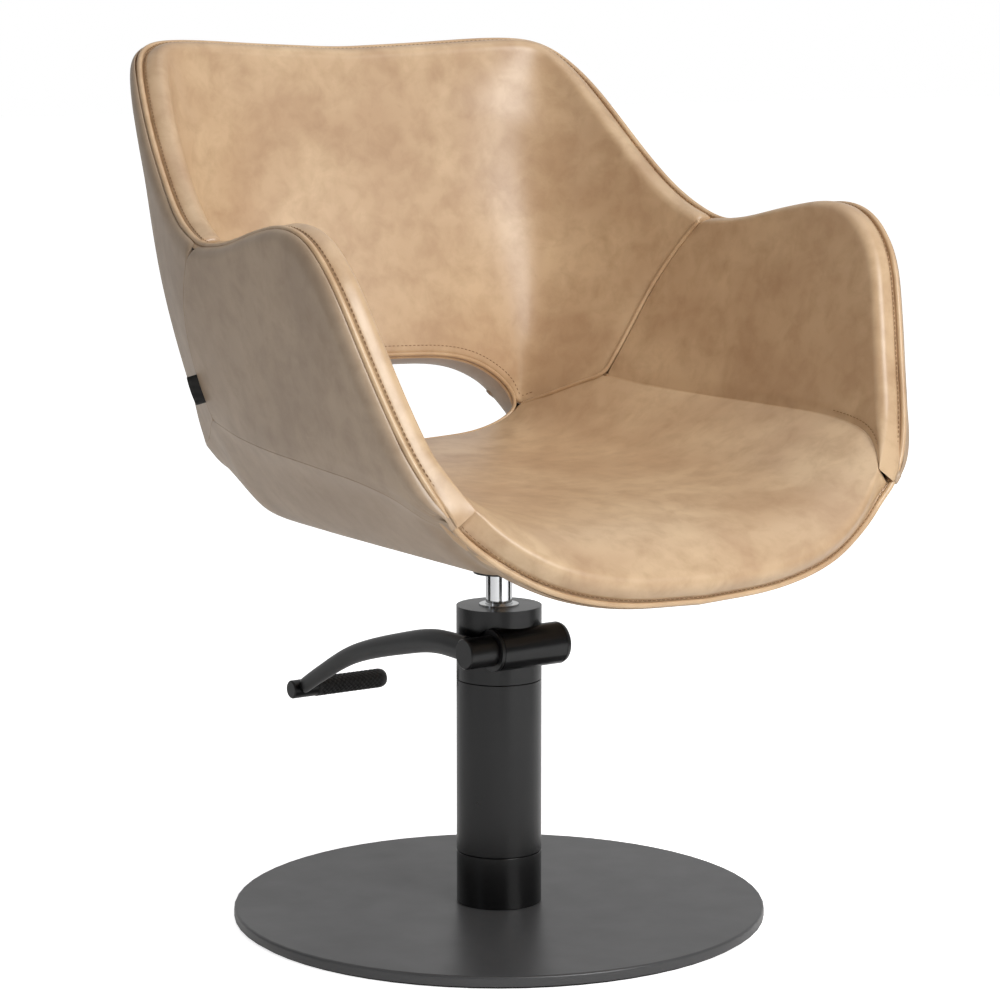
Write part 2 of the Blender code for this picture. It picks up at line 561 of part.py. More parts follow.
def panel_between(bottom, top, first, last, share=None):
    """Coons patch: a grid [column][row] of points between four edge lines. share is how far each row has
    gone from bottom to top, in X, Y and Z; without it the rows are even."""
    u = np.linspace(0, 1, len(bottom))[:, None, None]
    v = np.linspace(0, 1, len(first))[None, :, None] if share is None else share[None]
    ruled = (1 - v) * bottom[:, None] + v * top[:, None] + (1 - u) * first[None] + u * last[None]
    corners = ((1 - u) * (1 - v) * bottom[0] + u * (1 - v) * bottom[-1]
               + (1 - u) * v * top[0] + u * v * top[-1])
    return ruled - corners


def seat_share():
    """The seat falls gently to the front and then rolls over, on its last third of rows."""
    flat_rows = SEAT_ROWS * 2 // 3
    level = np.linspace(0, 1, flat_rows + 1)
    turn = np.linspace(0, ROLL_ANGLE, SEAT_ROWS - flat_rows + 1)[1:]
    reach = np.r_[level * (1 - ROLL_SHARE), 1 - ROLL_SHARE * (1 - np.sin(turn) / np.sin(ROLL_ANGLE))]
    fall = np.r_[level * (1 - ROLL_DROP), 1 - ROLL_DROP * (1 - (1 - np.cos(turn)) / (1 - np.cos(ROLL_ANGLE)))]
    return np.stack([reach, reach, fall], 1)


def inner_skin():
    """The bucket's inner cover as four panels that share their seam lines."""
    half = CREASE_COLUMNS + SLOT_COLUMNS
    back_crease = seam_line(BACK_CREASE, PANEL_ROWS)
    seat_crease = seam_line(SEAT_CREASE, CREASE_COLUMNS)
    arm_seam = seam_line(ARM_SEAM, SEAT_ROWS)
    back_bottom = np.vstack([seat_crease, seam_line(SLOT_TOP, SLOT_COLUMNS)[1:]])
    seat_rear = np.vstack([seat_crease, seam_line(SLOT_BOTTOM, SLOT_COLUMNS)[1:]])
    back_rim = np.vstack([seam_line(BACK_SIDE_RIM, WING_COLUMNS),
                          seam_line(BACK_TOP_RIM, half - WING_COLUMNS)[1:]])
    back = panel_between(whole(back_bottom), whole(back_rim), back_crease, back_crease * OTHER_HAND)
    seat = panel_between(whole(seat_rear), whole(seam_line(FRONT_RIM, half)), arm_seam, arm_seam * OTHER_HAND,
                         seat_share())
    across = np.sin(np.linspace(0, pi, seat.shape[0]))[:, None]
    along = np.sin(np.linspace(0, pi, seat.shape[1]))[None, :]
    seat[:, :, 2] += SEAT_CROWN * across * along
    arm_front = np.repeat(arm_seam[-1:], PANEL_ROWS + 1, axis=0)
    arm = panel_between(arm_seam, seam_line(ARM_RIM, SEAT_ROWS), back_crease, arm_front)
    return {"back": back, "seat": seat, "arm_left": arm, "arm_right": arm * OTHER_HAND}


def place_key(point):
    return tuple(np.round(point, 5))


SITTER = np.array([0, -0.06 * SEAT_DEPTH, UNDERSIDE + 0.55 * SEAT_HEIGHT])    # a point inside the bucket


def facing_sitter(panels):
    """Unit normals towards the sitter at every grid point. Points on a shared seam get one normal."""
    sums = {}
    for grid in panels.values():
        a, b, c, d = grid[:-1, :-1], grid[1:, :-1], grid[1:, 1:], grid[:-1, 1:]
        normals = np.cross(c - a, d - b)
        if (normals * (SITTER - a)).sum() < 0:
            normals = -normals
        for corner in (a, b, c, d):
            for point, normal in zip(corner.reshape(-1, 3), normals.reshape(-1, 3)):
                key = place_key(point)
                sums[key] = sums.get(key, 0) + normal
    result = {}
    for name, grid in panels.items():
        normals = np.array([sums[place_key(point)] for point in grid.reshape(-1, 3)]).reshape(grid.shape)
        result[name] = normals / np.linalg.norm(normals, axis=2, keepdims=True)
    return result


def shell_bed(skin, skin_normals):
    """Where the shell's inner face lies: under the pads, with a flat floor for the mounting plate."""
    bed = {name: skin[name] - PAD_THICK * skin_normals[name] for name in skin}
    seat = skin["seat"]
    columns, rows = seat.shape[:2]
    u = np.linspace(0, 1, columns)[:, None]
    v = np.linspace(0, 1, rows)[None, :]
    edge = np.clip(np.minimum(np.minimum(u, 1 - u), np.minimum(v, (1 - v) * 0.9)) / 0.2, 0, 1)
    flat = (edge * edge * (3 - 2 * edge))[:, :, None]
    floor = seat.copy()
    floor[:, :, 2] = SHELL_FLOOR
    bed["seat"] = bed["seat"] * (1 - flat) + floor * flat
    return bed


def trimmed(grid, first, last, bottom, top):
    """The grid with its four edges drawn in by these distances."""
    grid = grid.copy()
    for edge, inner, distance in ((grid[0], grid[1], first), (grid[-1], grid[-2], last),
                                  (grid[:, 0], grid[:, 1], bottom), (grid[:, -1], grid[:, -2], top)):
        step = inner - edge
        length = np.maximum(np.linalg.norm(step, axis=1, keepdims=True), 1e-6)
        edge += step * np.minimum(distance / length, 0.45)
    return grid


def slab(name, near, far, material, parent):
    """Closed panel between two grids: a flat board of the same cells, bent onto them."""
    columns, rows = near.shape[0] - 1, near.shape[1] - 1
    bm = bmesh.new()
    bmesh.ops.create_grid(bm, x_segments=columns, y_segments=rows, size=0.5)
    board = bmesh.ops.extrude_face_region(bm, geom=bm.faces[:], use_keep_orig=True)
    raised = [item for item in board["geom"] if isinstance(item, bmesh.types.BMVert)]
    bmesh.ops.translate(bm, verts=raised, vec=(0, 0, 1))
    for vert in bm.verts:
        column = round((vert.co.x + 0.5) * columns)
        row = round((vert.co.y + 0.5) * rows)
        vert.co = (near if vert.co.z > 0.5 else far)[column, row]
    bmesh.ops.recalc_face_normals(bm, faces=bm.faces)
    if bm.calc_volume(signed=True) < 0:
        bmesh.ops.reverse_faces(bm, faces=bm.faces)
    mesh = bpy.data.meshes.new(name)
    bm.to_mesh(mesh)
    bm.free()
    smooth(mesh, 0.9)
    return add_object(name, mesh, material, parent=parent)


def joined_sheet(name, panels, material, parent):
    """One open sheet through all the panels, welded along their shared seams."""
    bm = bmesh.new()
    for grid in panels.values():
        columns, rows = grid.shape[0] - 1, grid.shape[1] - 1
        made = bmesh.ops.create_grid(bm, x_segments=columns, y_segments=rows, size=0.5)
        for vert in made["verts"]:
            vert.co = grid[round((vert.co.x + 0.5) * columns), round((vert.co.y + 0.5) * rows)]
    bmesh.ops.remove_doubles(bm, verts=bm.verts, dist=0.00002)
    bmesh.ops.recalc_face_normals(bm, faces=bm.faces)
    if sum(face.normal.dot(SITTER - np.array(face.calc_center_median())) for face in bm.faces) < 0:
        bmesh.ops.reverse_faces(bm, faces=bm.faces)
    mesh = bpy.data.meshes.new(name)
    bm.to_mesh(mesh)
    bm.free()
    smooth(mesh, 0.9)
    return add_object(name, mesh, material, parent=parent)


# ---------------------------------------------------------------- upholstered bucket
CREASE_CLEAR = CREASE_PIPING_RADIUS + 0.0030      # pads stop this far from the piped crease
SEAM_CLEAR = 0.0030
RIM_CLEAR = 0.0005
ARM_END_CLEAR = 0.014         # the arm panels stop short of their pointed front end


def seat_bolt_places():
    across = PLATE_WIDTH / 2 - BOLT_INSET
    along = PLATE_LENGTH / 2 - BOLT_INSET
    return [(x, y) for x in (-across, across) for y in (-along, along)]


def make_bucket(seat):
    skin = inner_skin()
    skin_normals = facing_sitter(skin)
    bed = shell_bed(skin, skin_normals)
    bed_normals = facing_sitter(bed)
    arm_clear = (CREASE_CLEAR, ARM_END_CLEAR, SEAM_CLEAR, RIM_CLEAR)
    clearances = {"back": (CREASE_CLEAR, CREASE_CLEAR, RIM_CLEAR, RIM_CLEAR),
                  "seat": (SEAM_CLEAR, SEAM_CLEAR, RIM_CLEAR, RIM_CLEAR),
                  "arm_left": arm_clear, "arm_right": arm_clear}
    names = {"back": ("back_pad", "outer_back_cover"), "seat": ("seat_pad", "underside_cover"),
             "arm_left": ("arm_pad_left", "outer_side_cover_left"),
             "arm_right": ("arm_pad_right", "outer_side_cover_right")}
    cover_near = SHELL_THICK + LAYER_GAP
    covers = {}
    for panel, (pad_name, cover_name) in names.items():
        pad_back = bed[panel] + LAYER_GAP * bed_normals[panel]
        near = trimmed(skin[panel], *clearances[panel])
        far = trimmed(pad_back, *clearances[panel])
        if panel in ("back", "seat"):
            near = clear_of_crease(near)
            far = clear_of_crease(far)
        slab(pad_name, near, far, LEATHERETTE, seat)
        outer = [bed[panel] - depth * bed_normals[panel] for depth in (cover_near, cover_near + COVER_THICK)]
        front = ARM_END_CLEAR if "arm" in panel else SEAM_CLEAR / 2
        edges = (SEAM_CLEAR / 2, front, SEAM_CLEAR / 2, RIM_CLEAR)
        inside, outside = (trimmed(face, *edges) for face in outer)
        covers[panel] = slab(cover_name, inside, outside, LEATHERETTE, seat)
    shell = joined_sheet("bucket_shell", bed, SHELL, seat)
    thicken = shell.modifiers.new("thickness", "SOLIDIFY")
    thicken.thickness = SHELL_THICK
    thicken.offset = -1
    for index, (x, y) in enumerate(seat_bolt_places()):
        hole = cutter_rod(f"seat_bolt_hole_{index + 1}", BOLT_RADIUS + NUT_WALL + 2 * GAP, UNDERSIDE - 0.01,
                          SHELL_FLOOR + 0.0005, 12, (x, y, 0))
        boolean(shell, hole)
        boolean(covers["seat"], hole)
    make_piping(skin, skin_normals, bed, bed_normals, seat)
    make_tag(bed, bed_normals, seat)


def clear_of_crease(grid):
    """Draws the edge of the back or the seat in where the piped crease joins them."""
    grid = grid.copy()
    for column in list(range(CREASE_COLUMNS + 1)) + list(range(-CREASE_COLUMNS - 1, 0)):
        step = grid[column, 1] - grid[column, 0]
        grid[column, 0] += step * min(CREASE_CLEAR / np.linalg.norm(step), 0.45)
    return grid


def rim_loop(panels):
    """The bucket's rim as one closed loop of points, clockwise from behind the sitter's left arm."""
    arm_columns = slice(1, SEAT_ROWS)
    return np.vstack([panels["back"][:, -1], panels["arm_right"][arm_columns, -1], panels["seat"][::-1, -1],
                      panels["arm_left"][arm_columns, -1][::-1]])


def slot_loop(panels):
    """The edge of the lumbar slot as one closed loop, without its two sharp corners."""
    columns = slice(CREASE_COLUMNS + 1, CREASE_COLUMNS + 2 * SLOT_COLUMNS)
    return np.vstack([panels["back"][columns, 0], panels["seat"][columns, 0][::-1]])


def beside(loop, normals, inner, out, depth):
    """The closed loop moved out over its edge, square to it, and down from the surface."""
    along = np.roll(loop, -1, axis=0) - np.roll(loop, 1, axis=0)
    sideways = np.cross(normals, along)
    sideways /= np.linalg.norm(sideways, axis=1, keepdims=True)
    away = np.sign((sideways * (loop - inner)).sum(axis=1, keepdims=True))
    return loop + out * away * sideways - depth * normals


def inner_rows(panels, row):
    """Copy of the panels in which every edge row is the row next to it."""
    moved = {}
    for name, grid in panels.items():
        moved[name] = grid.copy()
        moved[name][:, row] = grid[:, 1 if row == 0 else -2]
    return moved


def make_piping(skin, skin_normals, bed, bed_normals, seat):
    """Piping round the rim, round the lumbar slot, and in the two creases beside the back."""
    proud = PIPING_RADIUS + 2 * GAP
    rim = beside(rim_loop(bed), rim_loop(bed_normals), rim_loop(inner_rows(bed, -1)), proud,
                 SHELL_THICK / 2)
    tube_along("rim_piping", rim, PIPING_RADIUS, PIPING, sides=1, closed=True, parent=seat)
    slot = beside(slot_loop(skin), slot_loop(skin_normals), slot_loop(inner_rows(skin, 0)), proud,
                  PIPING_RADIUS + SLOT_PIPING_SINK)
    tube_along("slot_piping", slot, PIPING_RADIUS, PIPING, sides=1, closed=True, parent=seat)
    sink = CREASE_PIPING_RADIUS * 0.4
    line = np.vstack([skin["back"][0, -1:0:-1], skin["back"][:CREASE_COLUMNS, 0]])
    line_normals = np.vstack([skin_normals["back"][0, -1:0:-1], skin_normals["back"][:CREASE_COLUMNS, 0]])
    crease = line - sink * line_normals
    tube_along("crease_piping_left", crease, CREASE_PIPING_RADIUS, PIPING, sides=1, parent=seat)
    tube_along("crease_piping_right", crease * OTHER_HAND, CREASE_PIPING_RADIUS, PIPING, sides=1, parent=seat)


def make_tag(bed, bed_normals, seat):
    """Blank woven tag sewn into the outer side seam behind the sitter's right arm. It stands out edge on."""
    depth = SHELL_THICK + LAYER_GAP + COVER_THICK
    seam = bed["arm_right"][0] - depth * bed_normals["arm_right"][0]
    up = Vector(seam[TAG_ROW + 1] - seam[TAG_ROW]).normalized()
    side = up.cross(Vector(-bed_normals["arm_right"][0, TAG_ROW])).normalized()
    out = side.cross(up)
    stand_off = TAG_SIZE[0] / 2 + SEAM_CLEAR / 3
    place = Vector((seam[TAG_ROW + 1] + seam[TAG_ROW]) / 2) + out * stand_off
    mesh = bpy.data.meshes.new("side_tag")
    bm = bmesh.new()
    bmesh.ops.create_cube(bm, size=1.0)
    bmesh.ops.scale(bm, verts=bm.verts, vec=TAG_SIZE)
    bm.to_mesh(mesh)
    bm.free()
    turn = Matrix((out, side, up)).transposed().to_euler()
    add_object("side_tag", mesh, LABEL, place=place, turn=turn, parent=seat)


def make_seat_mount(seat):
    """Socket that turns on the rod, its plate, and the bolts into the shell's insert nuts."""
    bore_top = ROD_TOP + GAP + WASHER_THICK + GAP
    fit = 2 * GAP
    turned("seat_socket",
           [(0, SOCKET_TOP), (SOCKET_FLANGE, SOCKET_TOP), (SOCKET_FLANGE, SOCKET_TOP - SOCKET_FLANGE_THICK),
            (SOCKET_RADIUS + SOCKET_FLARE / 4, SOCKET_TOP - SOCKET_FLANGE_THICK),
            (SOCKET_RADIUS, SOCKET_TOP - SOCKET_FLARE),
            (SOCKET_RADIUS, SOCKET_BOTTOM + GAP), (ROD_RADIUS + fit, SOCKET_BOTTOM + GAP),
            (ROD_RADIUS - TAPER_DROP + fit, bore_top), (0, bore_top)],
           BLACK_STEEL, steps=32, parent=seat)
    washer = rod_profile(ROD_RADIUS - TAPER_DROP, ROD_TOP + GAP, ROD_TOP + GAP + WASHER_THICK)
    turned("thrust_washer", washer, BRONZE, steps=24, parent=seat)
    mesh = bpy.data.meshes.new("mounting_plate")
    bm = bmesh.new()
    bmesh.ops.create_cube(bm, size=1.0)
    bmesh.ops.scale(bm, verts=bm.verts, vec=(PLATE_WIDTH, PLATE_LENGTH, PLATE_THICK))
    corners = [e for e in bm.edges if abs(e.verts[0].co.z - e.verts[1].co.z) > PLATE_THICK / 2]
    bmesh.ops.bevel(bm, geom=corners, offset=BOLT_INSET * 0.8, segments=4, affect="EDGES", profile=0.5)
    bm.to_mesh(mesh)
    bm.free()
    middle = (0, 0, PLATE_BOTTOM + PLATE_THICK / 2)
    plate = add_object("mounting_plate", mesh, BLACK_STEEL, place=middle, parent=seat)
    shank_top = SHELL_FLOOR - GAP
    head_top = PLATE_BOTTOM - GAP
    nut_bottom = UNDERSIDE + COVER_THICK + LAYER_GAP
    for index, (x, y) in enumerate(seat_bolt_places()):
        turned(f"seat_bolt_{index + 1}",
               [(0, shank_top), (BOLT_RADIUS, shank_top), (BOLT_RADIUS, head_top),
                (BOLT_HEAD_RADIUS, head_top), (BOLT_HEAD_RADIUS, head_top - BOLT_HEAD),
                (0, head_top - BOLT_HEAD)],
               ZINC, steps=12, place=(x, y, 0), parent=seat)
        boolean(plate, cutter_rod(f"plate_hole_{index + 1}", BOLT_RADIUS + GAP, PLATE_BOTTOM - 0.01,
                                  PLATE_TOP + 0.01, 12, (x, y, 0)))
        turned(f"insert_nut_{index + 1}",
               tube_profile(BOLT_RADIUS + GAP + NUT_WALL, BOLT_RADIUS + GAP, nut_bottom, shank_top),
               ZINC, steps=12, ring=True, place=(x, y, 0), parent=seat)


lift = pivot("piston_lift", (0, 0, ROD_BOTTOM))
swivel = pivot("seat_swivel", (0, 0, SOCKET_BOTTOM), lift)
lever_pivot = pivot("lever_pivot", (0, SHAFT_Y, SHAFT_Z))
plunger_slide = pivot("plunger_slide", (0, PLUNGER_Y, PLUNGER_TOP))

make_base()
make_head()
make_hydraulics(lift, plunger_slide)
make_lever(lever_pivot)
make_seat_mount(swivel)
make_bucket(swivel)
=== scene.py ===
# %% [markdown]
# # A styling chair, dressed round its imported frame
# The chair is an upholstered bucket with an open slot behind the sitter's waist. It turns on a chromed rod
# that a foot lever pumps up out of a black column, and the column stands on a heavy round disc.
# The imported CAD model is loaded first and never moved. Everything below is built in its frame, in metres,
# with the sitter facing -Y and +X on the sitter's left.

from math import cos, pi, sin

import bmesh
import bpy
import numpy as np
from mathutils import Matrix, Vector


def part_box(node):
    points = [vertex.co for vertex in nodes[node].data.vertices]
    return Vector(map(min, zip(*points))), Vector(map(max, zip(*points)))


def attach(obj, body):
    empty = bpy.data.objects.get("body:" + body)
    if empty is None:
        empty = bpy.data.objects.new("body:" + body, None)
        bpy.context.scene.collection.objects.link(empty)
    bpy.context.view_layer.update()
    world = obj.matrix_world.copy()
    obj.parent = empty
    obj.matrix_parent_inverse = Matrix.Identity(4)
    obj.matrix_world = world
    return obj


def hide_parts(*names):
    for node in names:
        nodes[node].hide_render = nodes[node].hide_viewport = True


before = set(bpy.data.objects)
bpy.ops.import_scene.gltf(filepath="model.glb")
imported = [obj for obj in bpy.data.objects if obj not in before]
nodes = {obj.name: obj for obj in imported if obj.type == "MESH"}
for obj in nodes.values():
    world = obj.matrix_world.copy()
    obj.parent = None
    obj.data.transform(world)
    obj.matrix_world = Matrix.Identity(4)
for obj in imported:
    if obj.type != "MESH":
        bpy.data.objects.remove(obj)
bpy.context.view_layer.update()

# %% [markdown]
# ## Shader nodes
# Every finish below is a small network of shader nodes. Colours are written the way a paint card or a web
# page gives them, as sRGB hex, while shaders work in linear light, so one function turns the one into the
# other. A second function adds a node with its settings and its links, which keeps each recipe readable.

# %% Colour and node helpers
MM = 0.001


def linear(hex_code):
    """sRGB hex, such as C8A87D, as a linear RGBA colour."""
    parts = [int(hex_code[i:i + 2], 16) / 255 for i in (0, 2, 4)]
    return (*(p / 12.92 if p <= 0.04045 else ((p + 0.055) / 1.055) ** 2.4 for p in parts), 1.0)


def add_node(tree, kind, links=None, **settings):
    """One shader node. links maps its sockets to values or to other nodes' outputs."""
    made = tree.nodes.new("ShaderNode" + kind)
    for name, value in settings.items():
        setattr(made, name, value)
    for socket, value in (links or {}).items():
        if isinstance(value, bpy.types.NodeSocket):
            tree.links.new(value, made.inputs[socket])
        else:
            made.inputs[socket].default_value = value
    return made


def new_finish(name, **shader):
    """A material with one Principled shader, and its tree, its shader and its coordinates."""
    finish = bpy.data.materials.new(name)
    finish.use_nodes = True
    tree = finish.node_tree
    surface = tree.nodes["Principled BSDF"]
    for socket, value in shader.items():
        surface.inputs[socket.replace("_", " ")].default_value = value
    place = add_node(tree, "TexCoord").outputs["Object"]
    return finish, tree, surface, place


def per_metre(size_mm):
    """Texture scale at which one feature of the pattern is this many millimetres wide."""
    return 1 / (size_mm * MM)


# %% [markdown]
# ## Leatherette
# The cover is PVC-coated cloth, sold as leatherette: a knitted backing with a printed and embossed plastic
# skin. The print gives soft lighter and darker clouds a few centimetres wide, the embossing gives a grain,
# and the clear top lacquer gives a soft semi-gloss that goes broad at a glancing angle. The real grain is
# about 0.8 mm wide, too fine to show at this distance, so it is drawn at 2 mm. A flat colour would look
# like painted plastic, so three noises of different size make the print.

# %% Coated leatherette
CLOUD_MM = 95
PATCH_MM = 24
GRAIN_MM = 2.0


def leatherette(name, light, middle, deep, gloss):
    finish, tree, surface, place = new_finish(name, Roughness=gloss, IOR=1.50, Coat_Weight=0.25,
                                              Coat_Roughness=0.30)
    clouds = add_node(tree, "TexNoise", {"Vector": place, "Scale": per_metre(CLOUD_MM), "Detail": 3.0,
                                         "Roughness": 0.55, "Distortion": 0.5})
    patches = add_node(tree, "TexNoise", {"Vector": place, "Scale": per_metre(PATCH_MM), "Detail": 6.0,
                                          "Roughness": 0.60, "Distortion": 0.3})
    cloud_share = add_node(tree, "MapRange", {"Value": clouds.outputs[0], "From Min": 0.36, "From Max": 0.66})
    patch_share = add_node(tree, "MapRange", {"Value": patches.outputs[0], "From Min": 0.42, "From Max": 0.78,
                                              "To Max": 0.60})
    printed = add_node(tree, "Mix", {0: cloud_share.outputs[0], 6: linear(middle), 7: linear(light)},
                       data_type="RGBA")
    mottled = add_node(tree, "Mix", {0: patch_share.outputs[0], 6: printed.outputs[2], 7: linear(deep)},
                       data_type="RGBA")
    tree.links.new(mottled.outputs[2], surface.inputs["Base Color"])
    sheen = add_node(tree, "MapRange", {"Value": patches.outputs[0], "To Min": gloss - 0.05,
                                        "To Max": gloss + 0.09})
    tree.links.new(sheen.outputs[0], surface.inputs["Roughness"])
    grain = add_node(tree, "TexVoronoi", {"Vector": place, "Scale": per_metre(GRAIN_MM)},
                     feature="SMOOTH_F1")
    relief = add_node(tree, "Bump", {"Height": grain.outputs[0], "Strength": 0.16, "Distance": 0.25 * MM})
    tree.links.new(relief.outputs[0], surface.inputs["Normal"])
    return finish


INNER_COVER = leatherette("tan_leatherette", "CDB08C", "BA9A78", "A07E5C", 0.38)
# A darker, greyer copy of the same leatherette, which is painted shade. It goes on the outside panels, the
# tapes behind the back and the slot's lining.
PAINTED_SHADE_COVER = leatherette("tan_leatherette_painted_shade", "B39C83", "A48D75", "927A62", 0.44)
# A lighter copy of the same leatherette for the piping, the cords, the slot rolls and the seam tapes. Its
# lighter colour is a painted highlight on their rounded edges.
PAINTED_HIGHLIGHT_COVER = leatherette("tan_leatherette_painted_highlight", "CFB18C", "BF9E7A", "A78561", 0.36)
print("leatherette in three cuts")

# %% [markdown]
# ## Thread and woven tag
# The seams are sewn with a bonded polyester thread about 0.6 mm thick. It is darker than the cover and dull,
# because light sinks between its plies. The tag in the side seam is black polyester tape with a plain
# weave. It is left blank.

# %% Thread and tape
THREAD_PLY_MM = 0.8
TAPE_RIB_MM = 1.2
WAVES_PER_UNIT = 20    # how many bands Blender's wave texture draws in one unit at scale 1


def bonded_thread():
    finish, tree, surface, place = new_finish("bonded_polyester_thread", Roughness=0.7, IOR=1.45)
    plies = add_node(tree, "TexNoise", {"Vector": place, "Scale": per_metre(THREAD_PLY_MM)})
    shade = add_node(tree, "Mix", {0: plies.outputs[0], 6: linear("7E6144"), 7: linear("9C7B58")},
                     data_type="RGBA")
    tree.links.new(shade.outputs[2], surface.inputs["Base Color"])
    return finish


def woven_tape():
    finish, tree, surface, place = new_finish("woven_black_tape", Roughness=0.85, Sheen_Weight=0.3)
    ribs = add_node(tree, "TexWave", {"Vector": place, "Scale": per_metre(TAPE_RIB_MM) / WAVES_PER_UNIT,
                                      "Distortion": 0.4}, bands_direction="Z")
    shade = add_node(tree, "Mix", {0: ribs.outputs[1], 6: linear("080808"), 7: linear("1C1B1A")},
                     data_type="RGBA")
    tree.links.new(shade.outputs[2], surface.inputs["Base Color"])
    relief = add_node(tree, "Bump", {"Height": ribs.outputs[1], "Strength": 0.4, "Distance": 0.3 * MM})
    tree.links.new(relief.outputs[0], surface.inputs["Normal"])
    return finish


THREAD = bonded_thread()
TAPE = woven_tape()

# %% [markdown]
# ## Metals, powder coat and rubber
# Steel that is powder coated black keeps a faint orange peel from the melted powder, a few millimetres
# from bump to bump, and a broad soft highlight. The disc has a flatter, dustier satin coat. The rod is hard
# chrome on ground steel: nearly a mirror, with very fine marks round it. The rubber of the pedal is dull.

# %% Hard finishes
PEEL_MM = 3.0
DUST_MM = 0.7
RUB_MM = 40
BLOOM_MM = 6
MARK_STRETCH = 12


def powder_coat(name, colour, gloss, peel):
    finish, tree, surface, place = new_finish(name, Roughness=gloss, IOR=1.50)
    speck = add_node(tree, "TexNoise", {"Vector": place, "Scale": per_metre(DUST_MM), "Detail": 2.0})
    shade = add_node(tree, "Mix", {0: speck.outputs[0], 6: linear(colour[0]), 7: linear(colour[1])},
                     data_type="RGBA")
    tree.links.new(shade.outputs[2], surface.inputs["Base Color"])
    orange_peel = add_node(tree, "TexNoise", {"Vector": place, "Scale": per_metre(PEEL_MM), "Detail": 1.0})
    relief = add_node(tree, "Bump", {"Height": orange_peel.outputs[0], "Strength": peel,
                                     "Distance": 0.2 * MM})
    tree.links.new(relief.outputs[0], surface.inputs["Normal"])
    rub = add_node(tree, "TexNoise", {"Vector": place, "Scale": per_metre(RUB_MM), "Detail": 3.0})
    worn = add_node(tree, "MapRange", {"Value": rub.outputs[0], "To Min": gloss - 0.05,
                                       "To Max": gloss + 0.07})
    tree.links.new(worn.outputs[0], surface.inputs["Roughness"])
    return finish


def bare_metal(name, colour, roughness, mark_mm, mark_depth):
    """Metal with fine turning or grinding marks that run round Z."""
    finish, tree, surface, place = new_finish(name, Metallic=1.0, Roughness=roughness)
    surface.inputs["Base Color"].default_value = linear(colour)
    stretched = add_node(tree, "Mapping", {"Vector": place, "Scale": (1, 1, MARK_STRETCH)})
    marks = add_node(tree, "TexNoise", {"Vector": stretched.outputs[0], "Detail": 2.0,
                                        "Scale": per_metre(mark_mm) / MARK_STRETCH})
    spread = add_node(tree, "MapRange", {"Value": marks.outputs[0], "To Min": roughness * 0.7,
                                         "To Max": roughness * 1.4})
    tree.links.new(spread.outputs[0], surface.inputs["Roughness"])
    relief = add_node(tree, "Bump", {"Height": marks.outputs[0], "Strength": mark_depth,
                                     "Distance": 0.05 * MM})
    tree.links.new(relief.outputs[0], surface.inputs["Normal"])
    return finish


def moulded_rubber(name, colour):
    finish, tree, surface, place = new_finish(name, Roughness=0.52, IOR=1.52)
    bloom = add_node(tree, "TexNoise", {"Vector": place, "Scale": per_metre(BLOOM_MM), "Detail": 4.0})
    shade = add_node(tree, "Mix", {0: bloom.outputs[0], 6: linear(colour), 7: linear("262524")},
                     data_type="RGBA")
    tree.links.new(shade.outputs[2], surface.inputs["Base Color"])
    relief = add_node(tree, "Bump", {"Height": bloom.outputs[0], "Strength": 0.2, "Distance": 0.2 * MM})
    tree.links.new(relief.outputs[0], surface.inputs["Normal"])
    return finish


COLUMN_COAT = powder_coat("black_powder_coat", ("050506", "0E0E0F"), 0.24, 0.04)
COLLAR_COAT = powder_coat("gloss_black_enamel", ("080808", "0E0E0F"), 0.22, 0.03)
DISC_COAT = powder_coat("satin_black_disc_coat", ("3D3D3E", "484849"), 0.34, 0.04)
LEVER_COAT = powder_coat("satin_black_lever_coat", ("0B0B0C", "161617"), 0.32, 0.05)
CHROME = bare_metal("hard_chrome", "E6E7E8", 0.07, 0.6, 0.02)
ZINC = bare_metal("zinc_plate", "B9BAB4", 0.34, 0.8, 0.1)
STEEL = bare_metal("ground_steel", "9C9D9F", 0.32, 0.7, 0.1)
BRONZE = bare_metal("sintered_bronze", "B08A52", 0.42, 0.5, 0.2)
RUBBER = moulded_rubber("moulded_black_rubber", "1D1D1D")
# The shell is dark brown rather than black. It shows only at the bottom of the grooves, and its colour is
# painted shade there.
SHELL_PAINTED_SHADE = moulded_rubber("moulded_shell_painted_shade", "1A120C")
print("hard finishes made")

# %% [markdown]
# ## The bucket's pattern
# An upholsterer cuts a bucket like this from four inner panels: back, seat and two arms. Each panel lies
# between seam lines, so the seam lines are drawn first, as smooth curves through a few points measured
# across, towards the back and up from the seat's underside. A Coons patch then spans each panel between
# its four seams. Panels that share a seam share its curve exactly, which keeps the skin closed. Sculpting
# the shape by hand would be possible, but it would not follow the CAD solids under it.

# %% Seam lines
FIT = 0.0003
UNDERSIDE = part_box("mounting_plate")[1].z + FIT
BACK_SIDE_RIM = ((264, 38, 273), (260, 75, 285), (252, 115, 314), (243, 160, 357), (231, 203, 405),
                 (215, 242, 443))
BACK_TOP_RIM = ((215, 242, 443), (170, 251, 442), (100, 255, 438), (0, 257, 434))
ARM_RIM = ((264, 38, 273), (268, -10, 276), (274, -75, 290), (278, -132, 298), (278, -168, 290),
           (275, -201, 260), (264, -224, 209), (251, -244, 157), (236, -266, 107), (215, -286, 68))
FRONT_RIM = ((215, -286, 68), (185, -304, 38), (141, -318, 13), (81, -325, -3), (0, -328, -8))
BACK_CREASE = ((201, 114, 115), (219, 106, 150), (242, 87, 207), (258, 55, 255), (264, 38, 273))
SEAT_CREASE = ((201, 114, 115), (191, 137, 107), (176, 166, 94), (160, 203, 79))
SLOT_TOP = ((160, 203, 79), (150, 200, 97), (130, 197, 113), (104, 194, 127), (69, 192, 136), (0, 190, 140))
SLOT_BOTTOM = ((160, 203, 79), (147, 206, 68), (105, 198, 58), (53, 189, 56), (0, 185, 55))
